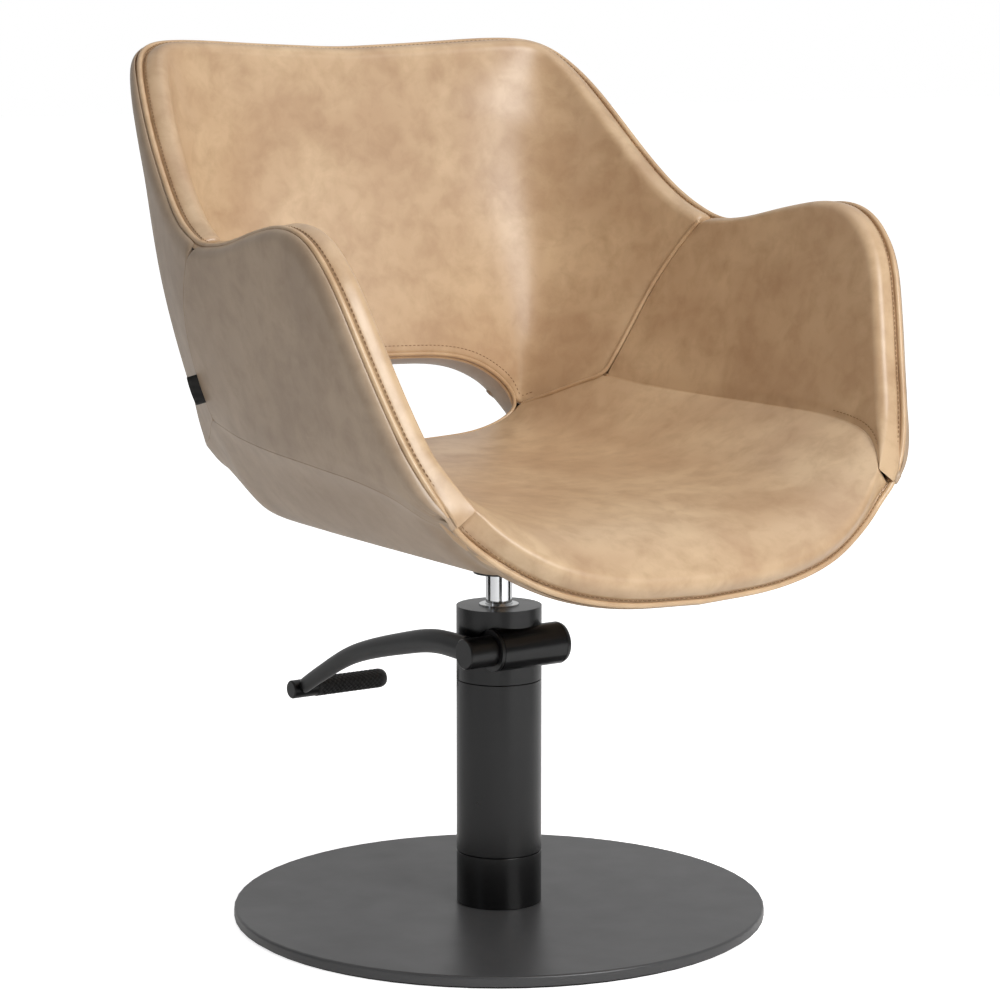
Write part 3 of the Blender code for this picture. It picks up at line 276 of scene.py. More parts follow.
ARM_SEAM = ((201, 114, 115), (211, 60, 110), (223, -20, 107), (231, -110, 106), (235, -190, 104),
            (232, -250, 94), (215, -286, 68))
CREASE_CELLS = 14
SLOT_CELLS = 34
WING_CELLS = 24
HALF_CELLS = CREASE_CELLS + SLOT_CELLS
PANEL_ROWS = 34
SEAT_ROWS = 54
print("seam lines over an underside at", round(UNDERSIDE, 4))

# %% [markdown]
# Each seam line is a smooth curve through its few points, cut into even steps. A centripetal spline is
# used because it makes no loops where the points lie unevenly. A few rounds of easing then take out what
# is left of the corners between the points.

# %% Curves through the seam points
CURVE_STEPS = 40
OTHER_HAND = np.array([-1, 1, 1])


def through(points, stations):
    """Smooth curve through the points, as stations + 1 evenly spaced points (centripetal Catmull-Rom)."""
    knots = np.array(points, float)
    knots = np.vstack([2 * knots[0] - knots[1], knots, 2 * knots[-1] - knots[-2]])
    pieces = []
    for a, b, c, d in zip(knots, knots[1:], knots[2:], knots[3:]):
        t1, t2, t3 = np.cumsum([np.sqrt(np.linalg.norm(q - p)) for p, q in ((a, b), (b, c), (c, d))])
        t = np.linspace(t1, t2, CURVE_STEPS, endpoint=False)[:, None]
        ab = (t1 - t) / t1 * a + t / t1 * b
        bc = (t2 - t) / (t2 - t1) * b + (t - t1) / (t2 - t1) * c
        cd = (t3 - t) / (t3 - t2) * c + (t - t2) / (t3 - t2) * d
        first = (t2 - t) / t2 * ab + t / t2 * bc
        last = (t3 - t) / (t3 - t1) * bc + (t - t1) / (t3 - t1) * cd
        pieces.append((t2 - t) / (t2 - t1) * first + (t - t1) / (t2 - t1) * last)
    dense = np.vstack(pieces + [knots[-2][None]])
    return spaced(dense, stations)


def spaced(line, stations):
    """The line again, as stations + 1 evenly spaced points."""
    length = np.r_[0, np.cumsum(np.linalg.norm(np.diff(line, axis=0), axis=1))]
    wanted = np.linspace(0, length[-1], stations + 1)
    return np.stack([np.interp(wanted, length, line[:, axis]) for axis in range(3)], 1)


def relaxed(line, rounds):
    """The line with its bends eased, and its two ends where they were."""
    line = line.copy()
    for _ in range(rounds):
        line[1:-1] += 0.5 * ((line[:-2] + line[2:]) / 2 - line[1:-1])
    return line


def seam_line(outline, stations, rounds=4):
    """A pattern outline in place on the chair."""
    return relaxed(through(np.array(outline, float) * MM + [0, 0, UNDERSIDE], stations), rounds)


def whole(half):
    """Adds the sitter's right half to a line that ends in the middle."""
    return np.vstack([half, (half * OTHER_HAND)[-2::-1]])


print("the front rim's half is", len(seam_line(FRONT_RIM, HALF_CELLS)), "points")

# %% [markdown]
# The seat's front rolls down over the edge of the foam. Rows that were evenly spread would make a straight
# ramp there, so the seat's rows follow a share that runs level first and then turns through most of a
# quarter circle. On one side of the back the cover has taken a soft upright fold, where the foam turns. A
# Coons patch also carries the corner at the slot's end up through the back, so the back is eased inside.

# %% The inner skin
EASING_ROUNDS = 60
EASING_EDGE = 0.22
WING_SHARE = 0.105
WING_LIFT = 0.0048
ROLL_SHARE = 0.154
ROLL_DROP = 0.57
ROLL_ANGLE = 0.92
SEAT_CROWN = 0.008


def panel_between(bottom, top, first, last, share=None):
    """Coons patch: a grid [column][row] of points between four edge lines."""
    u = np.linspace(0, 1, len(bottom))[:, None, None]
    v = np.linspace(0, 1, len(first))[None, :, None] if share is None else share[None]
    ruled = (1 - v) * bottom[:, None] + v * top[:, None] + (1 - u) * first[None] + u * last[None]
    corners = ((1 - u) * (1 - v) * bottom[0] + u * (1 - v) * bottom[-1]
               + (1 - u) * v * top[0] + u * v * top[-1])
    return ruled - corners


def seat_share():
    flat_rows = SEAT_ROWS * 2 // 3
    level = np.linspace(0, 1, flat_rows + 1)
    turn = np.linspace(0, ROLL_ANGLE, SEAT_ROWS - flat_rows + 1)[1:]
    reach = np.r_[level * (1 - ROLL_SHARE), 1 - ROLL_SHARE * (1 - np.sin(turn) / sin(ROLL_ANGLE))]
    fall = np.r_[level * (1 - ROLL_DROP), 1 - ROLL_DROP * (1 - (1 - np.cos(turn)) / (1 - cos(ROLL_ANGLE)))]
    return relaxed(np.stack([reach, reach, fall], 1), 30)


def eased_inside(grid):
    """Eases the grid's bends from column to column, and leaves its sewn edges where they are."""
    u, v = [np.linspace(0, 1, count)[1:-1] for count in grid.shape[:2]]
    from_edge = np.minimum(np.minimum(u, 1 - u)[:, None], np.minimum(v, 1 - v)[None, :])
    free = 0.5 * (np.clip(from_edge / EASING_EDGE, 0, 1) ** 2)[:, :, None]
    for _ in range(EASING_ROUNDS):
        grid[1:-1, 1:-1] += free * ((grid[:-2, 1:-1] + grid[2:, 1:-1]) / 2 - grid[1:-1, 1:-1])


def inner_skin():
    back_crease = seam_line(BACK_CREASE, PANEL_ROWS)
    seat_crease = seam_line(SEAT_CREASE, CREASE_CELLS)
    arm_seam = seam_line(ARM_SEAM, SEAT_ROWS)
    back_bottom = np.vstack([seat_crease, seam_line(SLOT_TOP, SLOT_CELLS)[1:]])
    seat_rear = np.vstack([seat_crease, seam_line(SLOT_BOTTOM, SLOT_CELLS)[1:]])
    back_rim = np.vstack([seam_line(BACK_SIDE_RIM, WING_CELLS),
                          seam_line(BACK_TOP_RIM, HALF_CELLS - WING_CELLS)[1:]])
    back_rim = relaxed(whole(back_rim), 3)
    back = panel_between(whole(back_bottom), back_rim, back_crease, back_crease * OTHER_HAND)
    seat = panel_between(whole(seat_rear), whole(seam_line(FRONT_RIM, HALF_CELLS)), arm_seam,
                         arm_seam * OTHER_HAND, seat_share())
    eased_inside(back)
    from_side = np.clip(np.linspace(1, 0, back.shape[0]) / WING_SHARE, 0, 1)[:, None]
    up_the_back = np.sin(np.linspace(0, pi, back.shape[1]))[None, :] ** 0.5
    back[:, :, 1] -= WING_LIFT * np.sin(pi * from_side) * up_the_back
    across = np.sin(np.linspace(0, pi, seat.shape[0]))[:, None]
    along = np.sin(np.linspace(0, pi, seat.shape[1]))[None, :]
    seat[:, :, 2] += SEAT_CROWN * across * along
    arm_front = np.repeat(arm_seam[-1:], PANEL_ROWS + 1, axis=0)
    arm = panel_between(arm_seam, seam_line(ARM_RIM, SEAT_ROWS), back_crease, arm_front)
    return {"back": back, "seat": seat, "arm_left": arm, "arm_right": arm * OTHER_HAND}


SKIN = inner_skin()
SITTER = np.array([0, -0.04, UNDERSIDE + 0.26])
print("inner skin:", {name: grid.shape[:2] for name, grid in SKIN.items()})

# %% [markdown]
# ## Layers behind the skin
# Behind the cover come 25 mm of foam, a 7 mm moulded shell and a thin outer cover. Each layer is the skin
# moved back along its own surface normals. Where two panels meet, both use the same averaged normal, so
# the layers stay joined too. The seat's shell is flat in its middle, where the mounting plate bolts on.

# %% Normals and layers
PAD_THICK = 0.025
SHELL_THICK = 0.007
LAYER_GAP = 0.001
COVER_THICK = 0.004
SHELL_FLOOR = UNDERSIDE + COVER_THICK + LAYER_GAP + SHELL_THICK
FLAT_EDGE = 0.2
FRONT_LEAN = 0.9


def place_key(point):
    return tuple(np.round(point, 6))


def facing_sitter(panels):
    """Unit normals towards the sitter at every grid point. Points on a shared seam get one normal."""
    sums = {}
    for grid in panels.values():
        a, b, c, d = grid[:-1, :-1], grid[1:, :-1], grid[1:, 1:], grid[:-1, 1:]
        normals = np.cross(c - a, d - b)
        if (normals * (SITTER - a)).sum() < 0:
            normals = -normals
        for corner in (a, b, c, d):
            for point, normal in zip(corner.reshape(-1, 3), normals.reshape(-1, 3)):
                key = place_key(point)
                sums[key] = sums.get(key, 0) + normal
    result = {}
    for name, grid in panels.items():
        normals = np.array([sums[place_key(point)] for point in grid.reshape(-1, 3)]).reshape(grid.shape)
        result[name] = normals / np.linalg.norm(normals, axis=2, keepdims=True)
    return result


def shell_bed(skin, normals):
    """Where the shell's inner face lies."""
    bed = {name: skin[name] - PAD_THICK * normals[name] for name in skin}
    columns, rows = skin["seat"].shape[:2]
    u = np.linspace(0, 1, columns)[:, None]
    v = np.linspace(0, 1, rows)[None, :]
    edge = np.clip(np.minimum(np.minimum(u, 1 - u), np.minimum(v, (1 - v) * FRONT_LEAN)) / FLAT_EDGE, 0, 1)
    flat = (edge * edge * (3 - 2 * edge))[:, :, None]
    floor = skin["seat"].copy()
    floor[:, :, 2] = SHELL_FLOOR
    bed["seat"] = bed["seat"] * (1 - flat) + floor * flat
    return bed


NORMALS = facing_sitter(SKIN)
BED = shell_bed(SKIN, NORMALS)
BED_NORMALS = facing_sitter(BED)
print("layers behind the skin, bed floor at", round(SHELL_FLOOR, 4))

# %% [markdown]
# ## Panels with sewn and rolled edges
# A sewn panel isn't a board. Along a seam its cover dives into the groove within a few millimetres, and
# along the rim it rolls over the foam. So a panel is drawn in from its edges first, and then grows rings
# outwards again along a small profile of steps, each so far out and so far down. The rings end at the
# bottom of the edge's wall, and a second grid closes the back.

# %% Drawing a panel in
MOST_IN = 0.45


def drawn_in(layers, first=0.0, last=0.0, bottom=0.0, top=0.0):
    """The grids, sampled again so that each edge lies this far inside its seam line."""
    for axis, start, end in ((1, bottom, top), (0, first, last)):
        layers = [np.swapaxes(layer, 0, axis) for layer in layers]
        length = np.cumsum(np.linalg.norm(np.diff(layers[0], axis=0), axis=2), axis=0)
        length = np.vstack([np.zeros((1, length.shape[1])), length])
        count, lines = length.shape
        moved = [np.empty_like(layer) for layer in layers]
        starts = np.broadcast_to(start, lines)
        ends = np.broadcast_to(end, lines)
        for line in range(lines):
            total = length[-1, line]
            most = MOST_IN * total
            wanted = np.linspace(min(starts[line], most), total - min(ends[line], most), count)
            for source, target in zip(layers, moved):
                for k in range(3):
                    target[:, line, k] = np.interp(wanted, length[:, line], source[:, line, k])
        layers = [np.swapaxes(layer, 0, axis) for layer in moved]
    return layers


def unit(vectors):
    return vectors / np.maximum(np.linalg.norm(vectors, axis=-1, keepdims=True), 1e-9)


print("the seat drawn in by 10 mm:", drawn_in([SKIN["seat"]], top=0.010)[0].shape[:2])

# %% [markdown]
# The rings need to know which way is out. That direction lies in the surface and is square to the edge, so
# it is the cross product of the edge's own direction and the surface normal. At a corner it is taken from
# one edge only, because an average would cut the corner off.

# %% Edge directions and profiles
def edge_walk(columns, rows):
    """Places of the grid's outer points in order, each with the edge that it lies on."""
    walk = [(i, 0, "bottom") for i in range(columns)]
    walk += [(columns - 1, j, "last") for j in range(1, rows - 1)]
    walk += [(i, rows - 1, "top") for i in range(columns - 1, -1, -1)]
    walk += [(0, j, "first") for j in range(rows - 2, 0, -1)]
    return walk


def looking_out(points, normals, inside, edges=None):
    """Unit directions along the surface, square to a closed line and away from the inside points."""
    ahead = np.roll(points, -1, axis=0) - points
    behind = points - np.roll(points, 1, axis=0)
    if edges is not None:
        starts = (edges != np.roll(edges, 1))[:, None]
        ends = (edges != np.roll(edges, -1))[:, None]
        behind, ahead = np.where(starts, ahead, behind), np.where(ends, behind, ahead)
    out = unit(np.cross(unit(ahead + behind), normals))
    return out * np.sign(np.sum(out * (points - inside)))


def roll(reach, drop, wall, steps=6):
    """Edge profile: a quarter roll over the foam, then straight down to the wall's depth."""
    turns = np.linspace(0, pi / 2, steps + 1)[1:]
    return [(reach * sin(t), drop * (1 - cos(t))) for t in turns] + [(reach, wall)]


def evened(profiles, edges, rounds=2):
    """Profiles round the panel, blended along each edge but not round its corners."""
    same_before = (edges == np.roll(edges, 1))[:, None, None]
    same_after = (edges == np.roll(edges, -1))[:, None, None]
    for _ in range(rounds):
        before = np.where(same_before, np.roll(profiles, 1, axis=0), profiles)
        after = np.where(same_after, np.roll(profiles, -1, axis=0), profiles)
        profiles = (before + 2 * profiles + after) / 4
    return profiles


print("a 10 mm roll goes through", len(roll(0.010, 0.010, 0.024)), "steps")

# %% [markdown]
# Now the panel itself. Points and faces are listed in plain Python, which is the quickest way to fill a
# mesh, and bmesh then welds the points that fall together at a tip and turns every face outwards.

# %% Closed panels and pieces
WELD_REACH = 0.00002
NO_REACH = 0.0002


def panel_mesh(name, near, normals, far, rim, profile_of):
    """Closed panel from its near grid, the rings of its edge profile and its far grid.

    Its top edge rolls out as far as the rim line."""
    columns, rows = near.shape[:2]
    walk = edge_walk(columns, rows)
    inner_i = np.array([min(max(i, 1), columns - 2) for i, _, _ in walk])
    inner_j = np.array([min(max(j, 1), rows - 2) for _, j, _ in walk])
    loop = np.array([near[i, j] for i, j, _ in walk])
    loop_normals = np.array([normals[i, j] for i, j, _ in walk])
    edges = np.array([edge for _, _, edge in walk])
    out = looking_out(loop, loop_normals, near[inner_i, inner_j], edges)
    to_rim = np.array([rim[i] for i, _, _ in walk]) - loop
    to_rim -= np.sum(to_rim * loop_normals, axis=1, keepdims=True) * loop_normals
    reach = np.linalg.norm(to_rim, axis=1)
    is_top = (edges == "top") & (reach > NO_REACH)
    out = np.where(is_top[:, None], unit(to_rim), out)
    profiles = evened(np.array([profile_of(i, edge, far_out) for (i, _, edge), far_out in zip(walk, reach)]),
                      edges)
    rings = [loop + profiles[:, k, :1] * out - profiles[:, k, 1:] * loop_normals
             for k in range(profiles.shape[1])]
    count = len(walk)
    grid_size = columns * rows
    points = np.vstack([near.reshape(-1, 3), *rings, far.reshape(-1, 3)])
    far_start = grid_size + count * len(rings)
    faces = []
    for i in range(columns - 1):
        for j in range(rows - 1):
            a = i * rows + j
            faces.append((a, a + rows, a + rows + 1, a + 1))
            b = a + far_start
            faces.append((b, b + 1, b + rows + 1, b + rows))
    edge_ids = [i * rows + j for i, j, _ in walk]
    levels = [edge_ids] + [list(range(grid_size + k * count, grid_size + (k + 1) * count))
                           for k in range(len(rings))] + [[far_start + e for e in edge_ids]]
    for upper, lower in zip(levels, levels[1:]):
        for k in range(count):
            n = (k + 1) % count
            faces.append((upper[n], upper[k], lower[k], lower[n]))
    mesh = bpy.data.meshes.new(name)
    mesh.from_pydata(points.tolist(), [], faces)
    bm = bmesh.new()
    bm.from_mesh(mesh)
    bmesh.ops.remove_doubles(bm, verts=bm.verts, dist=WELD_REACH)
    bmesh.ops.recalc_face_normals(bm, faces=bm.faces)
    if bm.calc_volume(signed=True) < 0:
        bmesh.ops.reverse_faces(bm, faces=bm.faces)
    bm.to_mesh(mesh)
    bm.free()
    mesh.shade_smooth()
    return mesh


def finished_mesh(name, bm):
    """The bmesh as a smooth mesh whose faces look outwards."""
    bmesh.ops.recalc_face_normals(bm, faces=bm.faces)
    mesh = bpy.data.meshes.new(name)
    bm.to_mesh(mesh)
    bm.free()
    mesh.shade_smooth()
    return mesh


def join_rings(bm, rings, around=True):
    """Faces between each ring of points and the next."""
    for ring, after in zip(rings, rings[1:]):
        for k in range(len(ring) if around else len(ring) - 1):
            n = (k + 1) % len(ring)
            bm.faces.new((ring[k], ring[n], after[n], after[k]))


def add_piece(name, mesh, finish, body, stands_for=(), smoothing=0):
    """Puts a new piece in the scene, on its body, in place of the CAD nodes that it stands for."""
    piece = bpy.data.objects.new(name, mesh)
    bpy.context.scene.collection.objects.link(piece)
    mesh.materials.clear()
    mesh.materials.append(finish)
    if smoothing:
        rounder = piece.modifiers.new("smoothing", "SUBSURF")
        rounder.levels = smoothing
        rounder.render_levels = smoothing
    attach(piece, body)
    if stands_for:
        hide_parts(*stands_for)
    return piece


print("a panel's mesh has", len(edge_walk(*SKIN["seat"].shape[:2])), "points round the seat")

# %% [markdown]
# ## The four pads
# The foam is moulded, and the cover is drawn tight over it, so the pads are full and nearly smooth. Where
# the back meets the arms and the seat, a thin piping fills the crease. The arm and the seat meet in a
# plain sewn seam. Along the slot, the cover turns over a tight edge. A cloth simulation would add slack
# that this taut cover doesn't have, so the pull of the seams is drawn straight into the grid instead.

# %% Pads
RIM_ROLL = 0.011
SLOT_ROLL = 0.005
WALL_DEPTH = 0.0240
CREASE_CORD = 0.0022
SEAM_DIVE = [(0.0005, 0.0001), (0.0009, 0.0004), (0.0012, 0.0009), (0.0014, 0.0016), (0.0015, 0.0026),
             (0.0015, 0.010), (0.0015, WALL_DEPTH)]
PLAIN_DIVE = [(0.0003, 0.0001), (0.0006, 0.0002), (0.0008, 0.0005), (0.00095, 0.0010), (0.0010, 0.0018),
              (0.0010, 0.010), (0.0010, WALL_DEPTH)]
SEAM_IN = 0.00105
CREASE_IN = CREASE_CORD + 0.0015
TIP_IN = 0.0004
SEAM_PULL = 0.0014
PULL_REACH = 0.007
TIP_REACH = 0.0015
TIP_GROWTH = 0.35
MOST_OF_WIDTH = 0.42


def is_crease_column(i, columns):
    return i < CREASE_CELLS or i > columns - 1 - CREASE_CELLS


TIP = seam_line(ARM_SEAM, 1)[-1]


def from_tip(points):
    """Distance from the point of the rim where the arm's seam ends, on the nearer side."""
    return np.linalg.norm(points - TIP * np.where(points[..., :1] < 0, OTHER_HAND, 1), axis=-1)


def rim_reach(grid, full):
    """How far the roll at the rim reaches in, at each column. It shrinks towards the arm's tip."""
    width = np.linalg.norm(np.diff(grid, axis=1), axis=2).sum(axis=1)
    near_tip = TIP_REACH + TIP_GROWTH * from_tip(grid[:, -1])
    return np.minimum(np.minimum(full, MOST_OF_WIDTH * width), near_tip)


def pad_profile(panel):
    """What the edge of this pad does at each of its outer points."""
    columns = SKIN[panel].shape[0]

    def at(i, edge, reach):
        if edge == "top":
            return roll(reach, min(reach, RIM_ROLL), WALL_DEPTH)
        if edge == "bottom" and panel in ("back", "seat") and not is_crease_column(i, columns):
            return roll(SLOT_ROLL, SLOT_ROLL, WALL_DEPTH)
        if edge == "bottom" and panel != "back" or edge != "bottom" and panel == "seat":
            return PLAIN_DIVE
        return SEAM_DIVE
    return at


def pad_insets(panel):
    columns = SKIN[panel].shape[0]
    reach = rim_reach(SKIN[panel], RIM_ROLL)
    if panel.startswith("arm"):
        return {"first": CREASE_IN, "last": TIP_IN, "bottom": SEAM_IN, "top": reach}
    crease = np.array([is_crease_column(i, columns) for i in range(columns)])
    bottom = np.where(crease, CREASE_IN if panel == "back" else SEAM_IN, SLOT_ROLL)
    side = CREASE_IN if panel == "back" else SEAM_IN
    return {"first": side, "last": side, "bottom": bottom, "top": reach}


def pulled_in(grid, normals, panel):
    """The cover sinks a little towards each sewn edge, as stitching pulls it into the foam."""
    columns = grid.shape[0]
    sewn = [grid[0], grid[-1]] if panel in ("back", "seat") else [grid[0], grid[:, 0]]
    if panel in ("back", "seat"):
        crease = [i for i in range(columns) if is_crease_column(i, columns)]
        sewn.append(grid[crease, 0])
    sewn = np.vstack(sewn)
    flat = grid.reshape(-1, 3)
    away = np.min(np.linalg.norm(flat[:, None] - sewn[None], axis=2), axis=1).reshape(grid.shape[:2])
    return grid - (SEAM_PULL * np.exp(-(away / PULL_REACH) ** 2))[:, :, None] * normals


def make_pad(name, panel, node):
    back_face = BED[panel] + LAYER_GAP * BED_NORMALS[panel]
    near, normals, far = drawn_in([SKIN[panel], NORMALS[panel], back_face], **pad_insets(panel))
    normals = unit(normals)
    near = pulled_in(near, normals, panel)
    rim = drawn_in([SKIN[panel]], **{**pad_insets(panel), "top": 0.0})[0][:, -1]
    mesh = panel_mesh(name, near, normals, far, rim, pad_profile(panel))
    pad = add_piece(name, mesh, INNER_COVER, "seat", [node], smoothing=1)
    return pad


PADS = {"back": make_pad("back_cushion", "back", "back_pad"),
        "seat": make_pad("seat_cushion", "seat", "seat_pad"),
        "arm_left": make_pad("arm_cushion_left", "arm_left", "arm_pad_left"),
        "arm_right": make_pad("arm_cushion_right", "arm_right", "arm_pad_right")}
print("pads:", {name: len(pad.data.vertices) for name, pad in PADS.items()})

# %% [markdown]
# ## Shell and outer covers
# The outside of the bucket is covered by four flatter panels, glued over a thin lining. They take the
# darker, greyer copy of the leatherette, which is painted shade for the bucket's shaded outside. Their edges
# roll in towards the rim piping, which leaves a narrow dark groove beside it. The shell itself only shows as
# the bottom of that groove, and its dark brown is painted shade there.

# %% Shell and outer covers
OUTER_REACH = 0.016
OUTER_DROP = 0.0082
OUTER_DEPTH = SHELL_THICK + LAYER_GAP + COVER_THICK
OUTER_SEAM = [(0.0003, 0.0001), (0.0005, 0.0002), (0.0007, 0.0005), (0.0008, 0.0009), (0.0008, 0.0015),
              (0.0008, 0.0025), (0.0008, COVER_THICK)]
OUTER_IN = 0.0009
TIP_TUCK = 0.022
TUCKED_DROP = 0.0006
LIP = 0.0003
SHELL_BACK_OFF = 0.0002
SHELL_IN = 0.004
SHELL_SLOT_IN = 0.0035
SHELL_TIP_IN = 0.055
SHELL_WALL_STEPS = 7


def make_outer(name, panel, node):
    bed, normals = BED[panel], BED_NORMALS[panel]
    tuck = (OUTER_DROP * np.exp(-(from_tip(SKIN[panel]) / TIP_TUCK) ** 2))[:, :, None]
    outside = bed - (OUTER_DEPTH - tuck) * normals
    inside = bed - (SHELL_THICK + LAYER_GAP - tuck) * normals
    reach = rim_reach(SKIN[panel], OUTER_REACH)

    def at(i, edge, far_out):
        if edge == "top":
            drop = max(TUCKED_DROP, OUTER_DROP - tuck[i, -1, 0])
            return roll(far_out, drop, drop + LIP)
        return OUTER_SEAM

    near, facing, far = drawn_in([outside, -normals, inside], first=OUTER_IN, last=OUTER_IN, bottom=OUTER_IN,
                                 top=reach)
    rim = drawn_in([outside], first=OUTER_IN, last=OUTER_IN, bottom=OUTER_IN)[0][:, -1]
    mesh = panel_mesh(name, near, unit(facing), far, rim, at)
    return add_piece(name, mesh, PAINTED_SHADE_COVER, "seat", [node], smoothing=1)


def make_shell():
    made = []
    for panel in SKIN:
        inside = BED[panel] - SHELL_BACK_OFF * BED_NORMALS[panel]
        outside = BED[panel] - SHELL_THICK * BED_NORMALS[panel]
        at_tip = np.exp(-(from_tip(SKIN[panel][:, -1]) / SHELL_TIP_IN) ** 2)
        clear_of_tip = SHELL_IN + SHELL_TIP_IN * at_tip
        near, normals, far = drawn_in([inside, BED_NORMALS[panel], outside], top=clear_of_tip,
                                      bottom=SHELL_SLOT_IN if panel == "back" else 0.0,
                                      last=SHELL_TIP_IN if panel.startswith("arm") else 0.0)
        wall = [(0.0, SHELL_THICK * k / SHELL_WALL_STEPS) for k in range(1, SHELL_WALL_STEPS + 1)]
        made.append(panel_mesh(f"shell_{panel}", near, unit(normals), far, inside[:, -1],
                               lambda i, edge, reach: wall))
    bm = bmesh.new()
    for mesh in made:
        bm.from_mesh(mesh)
    joined = bpy.data.meshes.new("moulded_shell")
    bm.to_mesh(joined)
    bm.free()
    joined.shade_smooth()
    return add_piece("moulded_shell", joined, SHELL_PAINTED_SHADE, "seat", ["bucket_shell"])


make_shell()
make_outer("outer_back_panel", "back", "outer_back_cover")
make_outer("outer_underside_panel", "seat", "underside_cover")
make_outer("outer_side_panel_left", "arm_left", "outer_side_cover_left")
make_outer("outer_side_panel_right", "arm_right", "outer_side_cover_right")
print("shell and outer covers made")

# %% [markdown]
# ## Piping
# Piping is a cord with a strip of cover sewn round it. It could be a bevelled curve, but a tube that is
# built from rings can change its width on the way. The rim comes first: one closed line round the bucket.

# %% The rim's line and its tubes
def rim_line(layer, row=-1):
    """The bucket's whole rim, or a row beside it, as one closed line."""
    inner = slice(1, SEAT_ROWS)
    return np.vstack([layer["back"][:, row], layer["arm_right"][inner, row], layer["seat"][::-1, row],
                      layer["arm_left"][inner, row][::-1]])


def ring_relaxed(line, rounds):
    """A closed line with its bends eased."""
    line = line.copy()
    for _ in range(rounds):
        line += 0.5 * ((np.roll(line, 1, axis=0) + np.roll(line, -1, axis=0)) / 2 - line)
    return line


def tube_mesh(name, line, radius, sides=10, closed=False):
    """Tube of rings square to the line."""
    line = np.array(line, float)
    if closed:
        along = unit(np.roll(line, -1, axis=0) - np.roll(line, 1, axis=0))
    else:
        along = unit(np.gradient(line, axis=0))
    radii = np.broadcast_to(radius, len(line))
    side = unit(np.cross(along[0], [0.3, 0.2, 1.0]))
    bm = bmesh.new()
    rings = []
    for centre, direction, size in zip(line, along, radii):
        side = unit(side - direction * (side @ direction))
        other = np.cross(direction, side)
        rings.append([bm.verts.new(centre + size * (cos(t) * side + sin(t) * other))
                      for t in np.linspace(0, 2 * pi, sides, endpoint=False)])
    if closed:
        gaps = [(rings[0][k].co - rings[-1][0].co).length for k in range(sides)]
        shift = int(np.argmin(gaps))
        rings.append(rings[0][shift:] + rings[0][:shift])
    else:
        bm.faces.new(rings[0][::-1])
        bm.faces.new(rings[-1])
    join_rings(bm, rings)
    return finished_mesh(name, bm)


RIM_CORD = 0.0029
RIM_CORD_IN = 0.0002
RIM_CORD_DEPTH = PAD_THICK + 0.0008
FLANGE_RADIUS = 0.0055
FLANGE_IN = 0.0065
FLANGE_DEPTH = 0.0270
FLANGE_THINNER = 0.0008
FLANGE_TIP = 0.035
RIM = rim_line(SKIN)
RIM_NORMALS = unit(ring_relaxed(rim_line(NORMALS), 8))
RIM_OUT = unit(ring_relaxed(looking_out(RIM, RIM_NORMALS, rim_line(SKIN, -3)), 8))


def along_rim(out, depth, rounds=2):
    return ring_relaxed(RIM + out * RIM_OUT - depth * RIM_NORMALS, rounds)


rim_cord = along_rim(-RIM_CORD_IN, RIM_CORD_DEPTH)
add_piece("rim_cord_piping", tube_mesh("rim_cord_piping", rim_cord, RIM_CORD, closed=True), PAINTED_HIGHLIGHT_COVER,
          "seat", ["rim_piping"], smoothing=1)
flange = along_rim(-FLANGE_IN, FLANGE_DEPTH)
flange_radius = FLANGE_RADIUS - FLANGE_THINNER * np.exp(-(from_tip(RIM) / FLANGE_TIP) ** 2)
add_piece("rim_piping_flange", tube_mesh("rim_piping_flange", flange, flange_radius, closed=True), PAINTED_HIGHLIGHT_COVER,
          "seat")
print("piping along", len(RIM), "rim points")

# %% [markdown]
# The crease beside the back has a thinner cord, whose lower end hooks in behind the slot. The plain seam
# between arm and seat is backed by a tape, and so is the outer seam under the back, where three covers
# meet. The piping's flange above is the strip's sewn edge, which closes the groove between the covers.

# %% Crease cords and seam tapes
CREASE_SINK = 0.0012
HOOK_DEPTHS = (0.003, 0.006, 0.010)
TAPE_RADIUS = 0.0032
TAPE_DEPTH = 0.0044
TAPE_SWELL = 0.0010
TAPE_SINK = 0.0016
TAPE_TIP = 0.016
BACKING_RADIUS = 0.0036
BACKING_IN = 0.0042


def crease_line(hand, sink):
    """From the top of the crease beside the back, down and along to the slot."""
    grid, normals = SKIN["back"], NORMALS["back"]
    column = 0 if hand > 0 else -1
    step = slice(0, CREASE_CELLS + 1) if hand > 0 else slice(-1, -CREASE_CELLS - 2, -1)
    line = np.vstack([grid[column, -2:0:-1], grid[step, 0]])
    tops = np.vstack([normals[column, -2:0:-1], normals[step, 0]])
    line = line - sink * tops
    behind = [CREASE_CELLS + k if hand > 0 else -CREASE_CELLS - 1 - k for k in (1, 2, 3)]
    hook = [SKIN["seat"][i, 0] - deep * NORMALS["seat"][i, 0] for i, deep in zip(behind, HOOK_DEPTHS)]
    return relaxed(np.vstack([line, hook]), 3)


